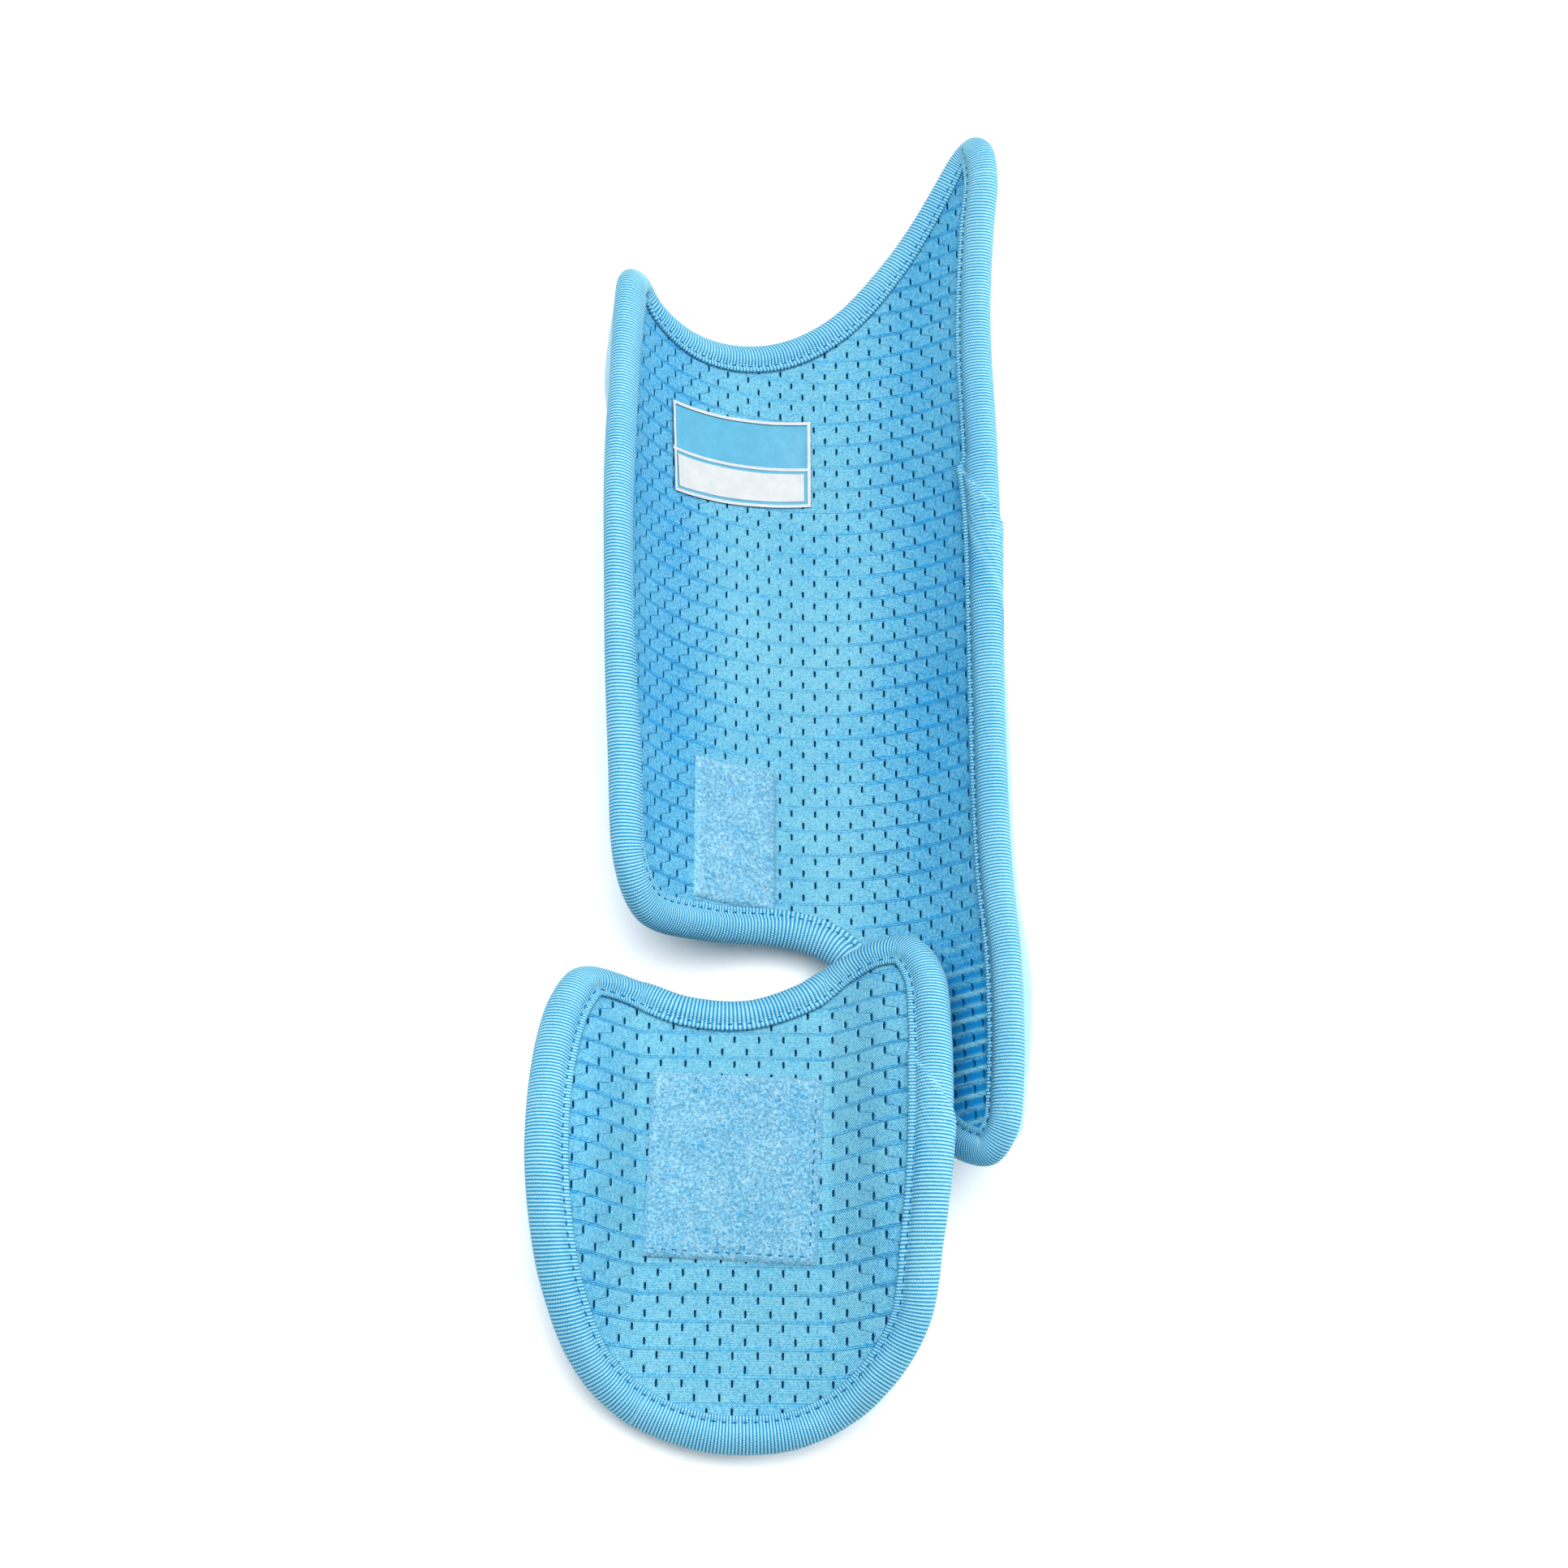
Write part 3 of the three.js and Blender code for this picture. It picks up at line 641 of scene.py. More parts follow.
def ripple(points, size, seed):
    """Soft uneven waves about size across, from about -1 to 1."""
    draw = np.random.default_rng(seed)
    total = np.zeros(len(points))
    for _ in range(RIPPLE_WAVES):
        heading = draw.uniform(0, TURN)
        way = points[:, 0] * math.cos(heading) + points[:, 1] * math.sin(heading)
        total += np.sin(way * TURN / (size * draw.uniform(*RIPPLE_SIZES)) + draw.uniform(0, TURN))
    return 2 * total / RIPPLE_WAVES


def ripples(points, rows):
    """Several ripples together. Each row is a height, a size and a seed."""
    return sum(height * ripple(points, size, seed) for height, size, seed in rows)


# How far from the tape the mesh is free
PLEAT_FREE = 7


def make_lining(shell, node, material, pit, pleat):
    """The knit mesh as tiles with a real slit in each, laid on the shell's face."""
    low, high = shell.path.min(0), shell.path.max(0)
    tiles = []
    for row in range(math.floor(low[1] / ROW_PITCH), math.ceil(high[1] / ROW_PITCH) + 1):
        for column in range(math.floor(low[0] / SLIT_PITCH) - 1, math.ceil(high[0] / SLIT_PITCH) + 1):
            tiles.append((TILE_COLUMNS * column + TILE_COLUMNS // 2 * (row % 2), TILE_ROWS * row))
    tiles = np.array(tiles)
    unit = np.array([SLIT_PITCH / TILE_COLUMNS, ROW_PITCH / TILE_ROWS])
    tiles = tiles[shell.inside_distance(tiles * unit) > TAPE_LEG / 2]

    keys = (tiles[:, None, :] + np.array(LATTICE)).reshape(-1, 2)
    lattice, index = np.unique(keys, axis=0, return_inverse=True)
    index = index.reshape(len(tiles), len(LATTICE))
    rim = np.array(RIM) * (SLIT_HALF_WIDTH, SLIT_HALF_HEIGHT)
    centres = (tiles * unit)[:, None, :]
    rims = (centres + rim).reshape(-1, 2)
    floors = (centres + rim * FLOOR_SHARE).reshape(-1, 2)
    flat = np.vstack([lattice * unit, rims, floors])
    own = len(lattice) + np.arange(2 * len(rims)).reshape(2, len(tiles), len(RIM))
    index = np.concatenate([index, own[0], own[1]], 1)

    lift = pleat(flat) * smoothstep(shell.inside_distance(flat), TAPE_LEG, TAPE_LEG + PLEAT_FREE)
    lift[own[1].ravel()] -= SLIT_DEPTH
    faces, in_slit = tile_faces()
    all_faces = [[tile[corner] for corner in face] for tile in index.tolist() for face in faces]
    in_slit = np.tile(in_slit, len(tiles))
    piece = make_piece(
        shell.name + "_mesh", shell.face(flat, lift), all_faces, [material, pit],
        flat=flat, face_material=in_slit.astype(np.int32), smooth=~in_slit,
    )
    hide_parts(node)


def surface_normals(grid):
    """Unit normals of a closed strip of points, rings by points round it."""
    along = np.roll(grid, -1, 1) - np.roll(grid, 1, 1)
    across = np.gradient(grid, axis=0)
    normal = np.cross(along, across)
    return normal / np.maximum(np.linalg.norm(normal, axis=2, keepdims=True), 1e-9)


TAPE_SECTION_CUTS = 28

# Between the hem and the roll lies a groove. From it, along the section: the hem's end and the roll's start
HEM_END = (-1.2, -0.4)
ROLL_START = (-0.4, 0.9)

# The lapped join: its slant and step, how that rises and fades, where it starts on the section, bent ribs
JOIN_SLANT = 1.5
JOIN_STEP = 0.95
JOIN_RISE = (-0.2, 0.5)
JOIN_FADE = 22
JOIN_HEM = (0.2, 1.2)
RIB_SLANT_FADE = 7
WIDENING_RISE = 3
WIDENING_FADE = 9

# Unevenness of the roll and of the hem: height, size and seed
ROLL_RIPPLE = [(0.16, 46, 3)]
HEM_RIPPLE = [(0.07, 46, 3)]
RIPPLE_SHIFT = 90
TWIST_SLANT = 2.4


def make_tape(shell, node, material, join_place, join_widening):
    """The ribbed tape round the edge, with a rolled hem and one lapped join cut on the slant."""
    ribs = round(shell.around / RIB_PITCH)
    count = ribs * RIB_CUTS
    section = evenly_spaced(curve_through(TAPE_SECTION, False), TAPE_SECTION_CUTS, False)
    way = np.concatenate([[0], np.cumsum(np.linalg.norm(np.diff(section, axis=0), axis=1))])
    edge, inward = shell.edge(count)
    along = np.arange(count) * shell.around / count
    join_at = along[np.argmin(np.linalg.norm(edge - join_place, axis=1))]
    beyond = (along - join_at) % shell.around
    widening = smoothstep(beyond, 0, WIDENING_RISE) * np.exp(-beyond / WIDENING_FADE)
    wider = 1 + join_widening / TAPE_LEG * widening
    grid = np.stack([shell.face(edge + inward * (inset * wider)[:, None], lift) for inset, lift in section])
    # The section's first points lie under the hem, so the groove is looked for past them
    past_hem = 2
    height = np.where(section[:, 0] > TAPE_LEG / 2, section[:, 1], np.inf)
    groove = way[past_hem + np.argmin(height[past_hem:])]
    on_roll = smoothstep(way - groove, *ROLL_START)[:, None]
    on_hem = 1 - smoothstep(way - groove, *HEM_END)[:, None]

    past_join = along[None, :] - join_at - JOIN_SLANT * way[:, None]
    past_join = (past_join + shell.around / 2) % shell.around - shell.around / 2
    fade = np.exp(-np.maximum(past_join, 0) / JOIN_FADE)
    lap = smoothstep(past_join, *JOIN_RISE) * fade * smoothstep(way, *JOIN_HEM)[:, None]
    slant = np.exp(-np.abs(past_join) / RIB_SLANT_FADE) * (past_join > 0) * JOIN_SLANT * way[:, None]
    rib = np.cos(TURN * (along[None, :] - slant) / RIB_PITCH) * RIB_RELIEF * on_roll
    strand = along[None, :] / HEM_TWIST_PITCH + way[:, None] / TWIST_SLANT
    twist = np.cos(TURN * strand) * HEM_RELIEF * on_hem
    puff = ripples(edge, ROLL_RIPPLE)[None, :] * on_roll
    puff = puff + ripples(edge + RIPPLE_SHIFT, HEM_RIPPLE)[None, :] * on_hem
    grid = grid + surface_normals(grid) * (rib + twist + puff + JOIN_STEP * lap)[..., None]

    faces, corner_along, corner_across = strip_faces(len(section), count, True)
    flat = np.stack([corner_along * shell.around / count, way[corner_across]], 1)
    piece = make_piece(
        shell.name + "_tape", grid.reshape(-1, 3), faces.tolist(), [material], flat=flat,
    )
    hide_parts(node)


# A stitch: places along it, their rise, and their share of its radius
THREAD_SHAPE = [(0, -0.35, 0.3), (0.18, 0.05, 1), (0.5, 0.12, 1), (0.82, 0.05, 1), (1, -0.35, 0.3)]
THREAD_SIDES = 6
STITCH_CUTS = 10
LIFT_PROBE = 0.1


def make_threads(name, shell, path, closed, lift, material):
    """Stitches along a flat path: short rounded threads whose ends dip into the cloth."""
    points, faces = [], []
    length = np.linalg.norm(np.diff(path, axis=0), axis=1).sum()
    count = max(2, round(length / STITCH_PITCH))
    fine = evenly_spaced(path, count * STITCH_CUTS, closed)
    fine_way = np.arange(len(fine))
    places, rise, width = (np.array(column) for column in zip(*THREAD_SHAPE))
    angle = np.arange(THREAD_SIDES) * TURN / THREAD_SIDES
    cos, sin = np.cos(angle)[:, None], np.sin(angle)[:, None]
    for stitch in range(count if closed else count - 1):
        ways = (stitch + places * STITCH_LENGTH / STITCH_PITCH) * STITCH_CUTS
        at = np.stack([np.interp(ways, fine_way, fine[:, k]) for k in (0, 1)], 1)
        centre = shell.face(at, lift + rise)
        up = shell.face(at, lift + rise + LIFT_PROBE) - centre
        up /= np.linalg.norm(up, axis=1, keepdims=True)
        heading = centre[-1] - centre[0]
        side = np.cross(up, heading / np.linalg.norm(heading))
        start = len(points) * THREAD_SIDES
        for step, radius in enumerate(STITCH_RADIUS * width):
            points.append(centre[step] + radius * (cos * side[step] + sin * up[step]))
        for step in range(len(THREAD_SHAPE) - 1):
            a = start + step * THREAD_SIDES
            b = a + THREAD_SIDES
            for i in range(THREAD_SIDES):
                j = (i + 1) % THREAD_SIDES
                faces.append([a + i, b + i, b + j, a + j])
        faces.append([start + i for i in range(THREAD_SIDES)])
        last = start + (len(THREAD_SHAPE) - 1) * THREAD_SIDES
        faces.append([last + i for i in reversed(range(THREAD_SIDES))])
    make_piece(name, np.vstack(points), faces, [material])


COVER_CELL = 1.25
COVER_EDGE_INSET = 1.8


def make_cover(shell, node, material, relief):
    """The padded body under the lining: the outer cloth with its seams, closed by a plain inner face."""
    low, high = shell.path.min(0), shell.path.max(0)
    counts = np.ceil((high - low) / COVER_CELL).astype(int) + 1
    column, row = np.meshgrid(np.arange(counts[0]), np.arange(counts[1]), indexing="ij")
    flat = low + np.stack([column.ravel(), row.ravel()], 1) * COVER_CELL
    distance = shell.inside_distance(flat)
    kept = (distance > COVER_EDGE_INSET).reshape(counts)
    cells = kept[:-1, :-1] & kept[1:, :-1] & kept[1:, 1:] & kept[:-1, 1:]
    i, j = np.nonzero(cells)
    first = i * counts[1] + j
    beside = first + counts[1]
    quads = np.stack([first, beside, beside + 1, first + 1], 1)
    used, quads = np.unique(quads, return_inverse=True)
    quads = quads.reshape(-1, 4)
    flat, distance = flat[used], distance[used]
    outer = shell.outer(flat, relief(flat, distance))
    inner = shell.face(flat, -LINING - PLY_GAP)
    count = len(flat)
    edges = np.concatenate([quads[:, [k, (k + 1) % 4]] for k in range(4)])
    forward = {tuple(e) for e in edges.tolist()}
    rim = [e for e in forward if (e[1], e[0]) not in forward]
    walls = [[a, a + count, b + count, b] for a, b in sorted(rim)]
    faces = quads[:, ::-1].tolist() + (quads + count).tolist() + [w[::-1] for w in walls]
    piece = make_piece(
        shell.name + "_cover", np.vstack([outer, inner]), faces, [material],
        flat=np.vstack([flat, flat]),
    )
    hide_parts(node)


FUZZ_CELL = 0.45
PILE_BASE = 0.15
PILE_HEIGHT = 1.15
PILE_ROUNDING = 1.6
PILE_RIPPLES = [(0.16, 9, 11), (0.12, 3.1, 12)]
PILE_ROUGHNESS = 0.17
POINT_SHIFT = 0.15
RIM_SHARE = 0.499

# Loose fibres: places along one, their rise, and their share of its width
FIBRE_SHAPE = [(0, -0.05, 1), (0.5, 0.3, 0.9), (1, 0.22, 0.35)]
FIBRE_WIDTH = 0.1
FIBRE_REACH = (0.5, 1.3)
FIBRE_RISE = (0.6, 1.3)
FIBRES_PER_MM2 = 4.5


def make_fuzz(shell, node, middle, width, length, turn, material):
    """A comfort patch: a soft uneven pile with loose fibres."""
    cos, sin = math.cos(turn), math.sin(turn)

    def placed(local):
        x, y = local[:, 0], local[:, 1]
        return np.stack([x * cos - y * sin, x * sin + y * cos], 1) + middle

    def pile(local):
        inset = np.minimum(width / 2 - np.abs(local[:, 0]), length / 2 - np.abs(local[:, 1]))
        round_over = 1 - (1 - np.clip(inset / PILE_ROUNDING, 0, 1)) ** 2
        return PILE_BASE + round_over * (PILE_HEIGHT + ripples(local, PILE_RIPPLES))

    columns, rows = (math.ceil(size / FUZZ_CELL) + 1 for size in (width, length))
    x, y = np.meshgrid(np.linspace(-0.5, 0.5, columns) * width, np.linspace(-0.5, 0.5, rows) * length)
    local = np.stack([x.ravel(), y.ravel()], 1)
    on_rim = np.maximum(np.abs(local[:, 0]) / width, np.abs(local[:, 1]) / length) > RIM_SHARE
    lift = pile(local) + np.where(on_rim, 0, rng.uniform(-PILE_ROUGHNESS, PILE_ROUGHNESS, len(local)))
    local = local + rng.uniform(-POINT_SHIFT, POINT_SHIFT, local.shape)
    points = shell.face(placed(local), lift)
    faces, _, _ = strip_faces(rows, columns, False)

    count = round(width * length * FIBRES_PER_MM2)
    root = rng.uniform(-0.5, 0.5, (count, 2)) * (width, length)
    heading = rng.uniform(0, TURN, count)
    reach = rng.uniform(*FIBRE_REACH, count)
    step = np.stack([np.cos(heading), np.sin(heading)], 1)
    side = np.stack([-step[:, 1], step[:, 0]], 1) * FIBRE_WIDTH / 2
    base = pile(root)
    stations = []
    for share, rise, thick in FIBRE_SHAPE:
        spot = root + step * (reach * share)[:, None]
        height = base + rise * rng.uniform(*FIBRE_RISE, count)
        stations.append(shell.face(placed(spot - side * thick), height))
        stations.append(shell.face(placed(spot + side * thick), height))
    fibres = np.stack(stations, 1).reshape(-1, 3)
    start = len(points) + np.arange(count)[:, None] * 2 * len(FIBRE_SHAPE)
    fibre_faces = np.concatenate([start + np.array([0, 1, 3, 2]), start + np.array([2, 3, 5, 4])])
    piece = make_piece(
        shell.name + "_fuzz", np.vstack([points, fibres]), faces[:, ::-1].tolist() + fibre_faces.tolist(),
        [material],
    )
    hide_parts(node)


SLAB_CELL = 1.5
SLAB_RIPPLES = [(0.06, 12, 5)]


def make_slabs(name, shell, slabs, materials):
    """Thin printed areas on the lining. A slab is its four flat corners, its lifts and its material."""
    points, faces, paint = [], [], []
    for corners, lift, rim_lift, material in slabs:
        corners = np.array(corners, float)
        sizes = np.linalg.norm(corners[[1, 3]] - corners[0], axis=1)
        columns, rows = (max(2, math.ceil(size / SLAB_CELL) + 1) for size in sizes)
        x, y = np.meshgrid(np.linspace(0, 1, columns), np.linspace(0, 1, rows))
        x, y = x.ravel()[:, None], y.ravel()[:, None]
        below = corners[0] * (1 - x) + corners[1] * x
        above = corners[3] * (1 - x) + corners[2] * x
        flat = below * (1 - y) + above * y
        edge = ((x == 0) | (x == 1) | (y == 0) | (y == 1)).ravel()
        start = sum(len(p) for p in points)
        points.append(shell.face(flat, np.where(edge, rim_lift, lift) + ripples(flat, SLAB_RIPPLES)))
        quads, _, _ = strip_faces(rows, columns, False)
        faces += (quads + start).tolist()
        paint += [material] * len(quads)
    make_piece(name, np.vstack(points), faces, materials, face_material=paint)


# Blank label on the shin lining: its flat corners, and the line between its two panels
LABEL_CORNERS = [(-40.7, 81.5), (5.4, 86.7), (5.3, 115.1), (-42.3, 110.7)]
LABEL_DIVIDER = [(-42.0, 95.0), (5.2, 99.0)]
LABEL_LINE = 1.0
LABEL_MARGIN = 1.5
LABEL_RIM_LIFT = 0.1
LABEL_FILM_LIFT = 0.45
LABEL_INK_LIFT = 0.62
LABEL_FLAT_ROUND = 5


def bar(start, end, width):
    """Four corners of a straight line of the given width."""
    start, end = np.array(start, float), np.array(end, float)
    way = (end - start) / np.linalg.norm(end - start)
    side = np.array([-way[1], way[0]]) * width / 2
    ahead = way * width / 2
    return [start - side - ahead, end - side + ahead, end + side + ahead, start + side - ahead]


def inset_corners(corners, margin):
    """The four corners moved inwards, so that each side moves by the margin."""
    corners = np.array(corners, float)
    result = []
    for i in range(4):
        to_last = corners[i - 1] - corners[i]
        to_next = corners[(i + 1) % 4] - corners[i]
        to_last, to_next = to_last / np.linalg.norm(to_last), to_next / np.linalg.norm(to_next)
        sine = abs(to_last[0] * to_next[1] - to_last[1] * to_next[0])
        result.append(corners[i] + (to_last + to_next) * margin / sine)
    return result


def make_label(shell, film, ink):
    """A blank printed label: clear film, a white frame and a white panel to write on."""
    low_left, low_right = LABEL_CORNERS[:2]
    left, right = LABEL_DIVIDER
    panel = inset_corners([low_left, low_right, right, left], LABEL_MARGIN)
    slabs = [(LABEL_CORNERS, LABEL_FILM_LIFT, LABEL_RIM_LIFT, 0), (panel, LABEL_INK_LIFT, LABEL_INK_LIFT, 1)]
    after = LABEL_CORNERS[1:] + LABEL_CORNERS[:1]
    for start, end in [*zip(LABEL_CORNERS, after), LABEL_DIVIDER]:
        slabs.append((bar(start, end, LABEL_LINE), LABEL_INK_LIFT, LABEL_INK_LIFT, 1))
    make_slabs("shin_label", shell, slabs, [film, ink])


# Web between the foot pad's outer wall and the lobe's tape, at the same places as its solid
STRAP = 2
STRAP_WIDTH = 28
STRAP_GAP = 0.4
STRAP_ALONG = -0.28
STRAP_ON_FOOT = [0.48, 0.54, 0.6]
STRAP_ON_LOBE = [0.5, 0.56, 0.62]
STRAP_SECTION_CUTS = 22
STRAP_STATIONS = 29
SELVEDGE_SHARE = 0.03
SELVEDGE_LEAST = 0.02
WEAVE_STEP = 1.3


def make_web(shin, foot, material):
    """The plain web, with rounded selvedges."""
    rows = []
    for share in np.linspace(-0.5, 0.5, STRAP_STATIONS):
        y = STRAP_ALONG * SHIN_LENGTH + share * STRAP_WIDTH
        into_selvedge = max(0, (abs(share) - 0.5 + SELVEDGE_SHARE) / SELVEDGE_SHARE)
        half_thick = STRAP / 2 * math.sqrt(max(SELVEDGE_LEAST, 1 - into_selvedge**2))
        on_foot = np.array([(part * foot.half_width, y - foot.place[1]) for part in STRAP_ON_FOOT])
        on_lobe = np.array([(part * shin.half_width, y) for part in STRAP_ON_LOBE])
        lobe_lift = TAPE_TOP + STRAP_GAP + STRAP / 2
        corners = np.vstack([foot.outer(on_foot, STRAP_GAP + STRAP / 2), shin.face(on_lobe, lobe_lift)])
        path = evenly_spaced(curve_through(corners, False), STRAP_SECTION_CUTS, False)
        path[:, 1] = y
        heading = np.gradient(path, axis=0)
        up = np.stack([-heading[:, 2], np.zeros(len(path)), heading[:, 0]], 1)
        up /= np.linalg.norm(up, axis=1, keepdims=True)
        rows.append(np.vstack([path + up * half_thick, (path - up * half_thick)[::-1]]))
    around = 2 * STRAP_SECTION_CUTS
    faces, corner_along, corner_across = strip_faces(STRAP_STATIONS, around, True)
    flat = np.stack([corner_across * STRAP_WIDTH / (STRAP_STATIONS - 1), corner_along * WEAVE_STEP], 1)
    last = (STRAP_STATIONS - 1) * around
    ends = [list(range(around)), list(reversed(range(last, last + around)))]
    flat = np.vstack([flat, np.zeros((2 * around, 2))])
    piece = make_piece(
        "link_web", np.vstack(rows), faces.tolist() + ends, [material], flat=flat,
    )
    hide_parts("link_strap")


def off_label(flat):
    """0 where the label holds the mesh flat, up to 1 a little way round it."""
    corners = np.array(LABEL_CORNERS)
    middle, reach = corners.mean(0), np.ptp(corners, axis=0) / 2
    away = np.abs(flat - middle) - reach
    return smoothstep(np.max(away, axis=1), 0, LABEL_FLAT_ROUND)


# Pleats: height in the middle, further height at the sides, and where that starts and is reached
SHIN_PLEAT = (0.05, 0.3, 20, 50)
FOOT_PLEAT = (0.06, 0.32, 20, 34)

# Ridges of the lobe: their height, and where they start and are reached below the resting point
LOBE_PLEAT = 1.5
LOBE_REACH = (52, 82)

# Loose waves of the mesh: height, size and seed
SHIN_LOOSE = [(0.2, 60, 21), (0.08, 17, 22)]
FOOT_LOOSE = [(0.18, 45, 23), (0.07, 15, 24)]


def row_pleats(flat, middle, further, start, reached):
    """Pleats on each second row, higher towards the sides."""
    height = middle + further * smoothstep(np.abs(flat[:, 0]), start, reached)
    return height * (0.5 + 0.5 * np.cos(TURN * flat[:, 1] / (2 * ROW_PITCH)))


def shin_pleat(flat):
    """Height of the mesh over the shin's face: row pleats, a ridge on each row of the lobe, loose waves."""
    lobe = smoothstep(-flat[:, 1], *LOBE_REACH)
    ridge = 1 - np.abs(np.cos(TURN * flat[:, 1] / (2 * ROW_PITCH)))
    pleat = row_pleats(flat, *SHIN_PLEAT) * (1 - lobe) + LOBE_PLEAT * lobe * ridge
    return (pleat + ripples(flat, SHIN_LOOSE)) * off_label(flat)


def foot_pleat(flat):
    """Height of the mesh over the foot pad's face."""
    return row_pleats(flat, *FOOT_PLEAT) + ripples(flat, FOOT_LOOSE)


# The cover's seam, which follows the edge
SEAM_INSET = 21
SEAM_WIDTH = 1.6
SEAM_DEPTH = 1.1

# Gathers at the tape's back leg, and where the cover is free of it
GATHER_RIPPLES = [(0.22, 8, 31)]
GATHER_FADE = 7
COVER_FREE = (TAPE_BACK_LEG + 1, TAPE_BACK_LEG + 6)
COVER_RIPPLES = [(0.25, 42, 32)]

# Where the fuller padding of the right wall starts and is whole, or for FULL_ALONG starts to go and is gone
FULL_ACROSS = (34, 54)
FULL_ALONG = (-10, 110)
FULL_END = (-112, -68)
FULL_INSET = (TAPE_BACK_LEG + 0.3, TAPE_BACK_LEG + 4)
SHIN_FULLNESS = 2.8


def cover_relief(scale, fullness):
    """How far the cover stands proud: its seam, gathers, waves and fuller side."""
    def relief(flat, distance):
        seam = np.exp(-((distance - SEAM_INSET * scale) / SEAM_WIDTH) ** 2)
        beyond = np.maximum(distance - TAPE_BACK_LEG, 0)
        gathers = ripples(flat, GATHER_RIPPLES) * np.exp(-beyond / GATHER_FADE)
        settled = smoothstep(distance, *COVER_FREE)
        full = smoothstep(flat[:, 0], *FULL_ACROSS) * (1 - smoothstep(flat[:, 1], *FULL_ALONG))
        full *= smoothstep(flat[:, 1], *FULL_END)
        full *= fullness * smoothstep(distance, *FULL_INSET)
        return settled * (ripples(flat, COVER_RIPPLES) - SEAM_DEPTH * seam) + gathers * settled + full
    return relief


# The shin patch stands on the straight edge, the foot patch in the middle of the pad, stitched on
SHIN_PATCH_SIZE = (26.5, 44)
SHIN_PATCH_ACROSS = -0.258
FOOT_PATCH_SIZE = (48, 53.5)
FOOT_PATCH_TURN = math.radians(-2.4)
PATCH_STITCH_INSET = 2
PATCH_STITCH_LIFT = PILE_HEIGHT + 0.15

# Where the ends of each tape meet, and how much wider the shin shell's tape gets there
SHIN_JOIN_PLACE = (67, 94)
FOOT_JOIN_PLACE = (57, 30)
SHIN_JOIN_WIDENING = 2.6

# The inset of the foot pad's seam as a share of the shin shell's
FOOT_SEAM_SCALE = 0.8

shin = ShinShell()
foot = FootShell()
tape = tape_finish()
pit = pit_finish()
thread = thread_finish()
cover = cover_finish()
fuzz = fuzz_finish()

# The foot pad has no lobe, so the place where one would start lies beyond its end
shin_mesh = lining_finish("shin_knit_mesh", steps_from=14, steps_to=42, side_shade_strength=0.2, lobe_below=-90)
foot_mesh = lining_finish("foot_knit_mesh", steps_from=24, steps_to=46, side_shade_strength=0.08, lobe_below=-200)
make_lining(shin, "shin_lining", shin_mesh, pit, shin_pleat)
make_lining(foot, "foot_lining", foot_mesh, pit, foot_pleat)
make_tape(shin, "shin_binding", tape, SHIN_JOIN_PLACE, SHIN_JOIN_WIDENING)
make_tape(foot, "foot_binding", tape, FOOT_JOIN_PLACE, 0)
make_cover(shin, "shin_shell", cover, cover_relief(1, SHIN_FULLNESS))
make_cover(foot, "foot_shell", cover, cover_relief(FOOT_SEAM_SCALE, 0))
for shell in (shin, foot):
    edge, inward = shell.edge(STITCH_PATH_CUTS)
    run = edge + inward * STITCH_INSET
    make_threads(shell.name + "_tape_stitches", shell, run, True, STITCH_LIFT, thread)

shin_patch_low = SHIN_STRAIGHT_EDGE_ALONG * SHIN_LENGTH + TAPE_LEG
shin_patch_middle = (SHIN_PATCH_ACROSS * shin.half_width, shin_patch_low + SHIN_PATCH_SIZE[1] / 2)
make_fuzz(shin, "shin_patch", shin_patch_middle, *SHIN_PATCH_SIZE, 0, fuzz)
make_fuzz(foot, "foot_patch", (0, 0), *FOOT_PATCH_SIZE, FOOT_PATCH_TURN, fuzz)
cos, sin = math.cos(FOOT_PATCH_TURN), math.sin(FOOT_PATCH_TURN)
right, low = FOOT_PATCH_SIZE[0] / 2 - PATCH_STITCH_INSET, PATCH_STITCH_INSET - FOOT_PATCH_SIZE[1] / 2
corners = np.array([(-right, low), (right, low), (right, -low)]) @ np.array([(cos, sin), (-sin, cos)])
make_threads("foot_patch_stitches", foot, corners, False, PATCH_STITCH_LIFT, thread)
film = print_finish("label_film", FILM_BLUE, roughness=0.35)
ink = print_finish("label_ink", INK_WHITE, roughness=0.5)
make_label(shin, film, ink)
make_web(shin, foot, web_finish())

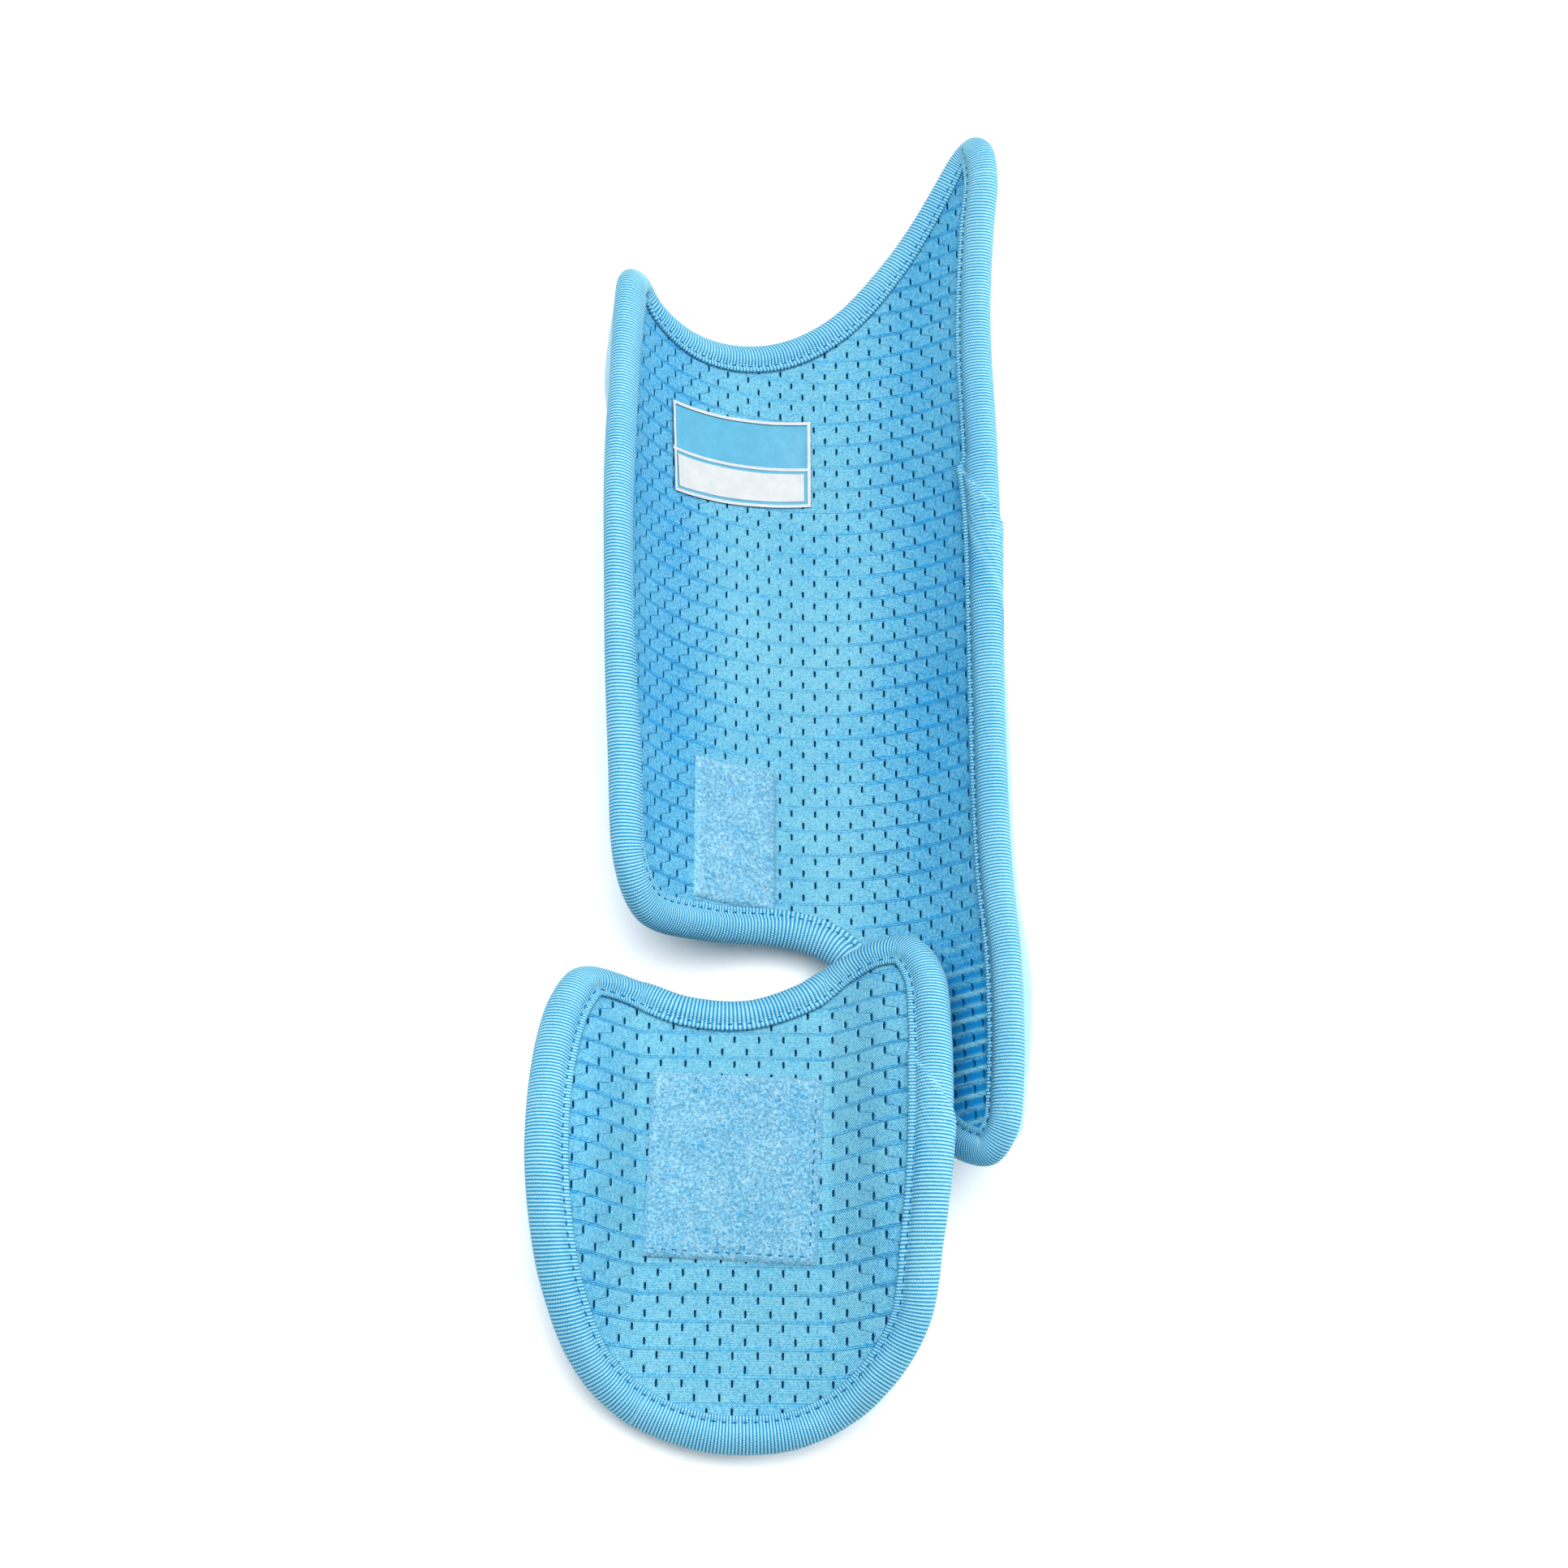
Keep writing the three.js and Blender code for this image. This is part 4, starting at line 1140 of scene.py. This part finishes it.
# Camera at the photograph's angle, with the origin in the middle of its picture
CAMERA_ELEVATION = math.radians(64.2)
CAMERA_AZIMUTH = math.radians(-21.3)
CAMERA_DISTANCE = 1.104
CAMERA_LENS = 85.4
CAMERA_SENSOR = 36

# Soft light from above, and a weak one from the right: name, place, size and power
LIGHTS = [
    ("key_light", (-0.45, 0.3, 2.6), 3.2, 93),
    ("right_light", (1.3, 0.1, 0.5), 0.6, 10),
]
LIGHT_AIM = (0, 0, 0.02)
WORLD_STRENGTH = 0.24
FLOOR_HALF = 4


def place_camera():
    """The camera looks at the origin, upright."""
    back = Vector((
        math.sin(CAMERA_AZIMUTH) * math.cos(CAMERA_ELEVATION),
        -math.cos(CAMERA_AZIMUTH) * math.cos(CAMERA_ELEVATION),
        math.sin(CAMERA_ELEVATION),
    ))
    up = (Vector((0, 1, 0)) - back * back.y).normalized()
    right = up.cross(back)
    data = bpy.data.cameras.new("camera")
    data.lens = CAMERA_LENS
    data.sensor_width = CAMERA_SENSOR
    camera = add_object("camera", data)
    turn = Matrix((right, up, back)).transposed().to_4x4()
    camera.matrix_world = Matrix.Translation(back * CAMERA_DISTANCE) @ turn
    bpy.context.scene.camera = camera


def area_light(name, place, size, power):
    """A square light that faces the guard."""
    data = bpy.data.lights.new(name, "AREA")
    data.size = size
    data.energy = power
    light = add_object(name, data)
    light.location = place
    light.rotation_mode = "QUATERNION"
    light.rotation_quaternion = (Vector(LIGHT_AIM) - Vector(place)).to_track_quat("-Z", "Y")


def make_floor():
    """White paper under the guard."""
    corners = [(x * FLOOR_HALF, y * FLOOR_HALF, 0) for x, y in ((-1, -1), (1, -1), (1, 1), (-1, 1))]
    mesh = bpy.data.meshes.new("floor")
    mesh.from_pydata(corners, [], [(0, 1, 2, 3)])
    mesh.materials.append(paper_finish())
    add_object("floor", mesh)


place_camera()
make_floor()
for row in LIGHTS:
    area_light(*row)
world = bpy.data.worlds.new("studio")
world.use_nodes = True
background = world.node_tree.nodes["Background"]
background.inputs["Color"].default_value = (1, 1, 1, 1)
background.inputs["Strength"].default_value = WORLD_STRENGTH
bpy.context.scene.world = world
view = bpy.context.scene.view_settings
view.view_transform = "Standard"
view.look = "High Contrast"
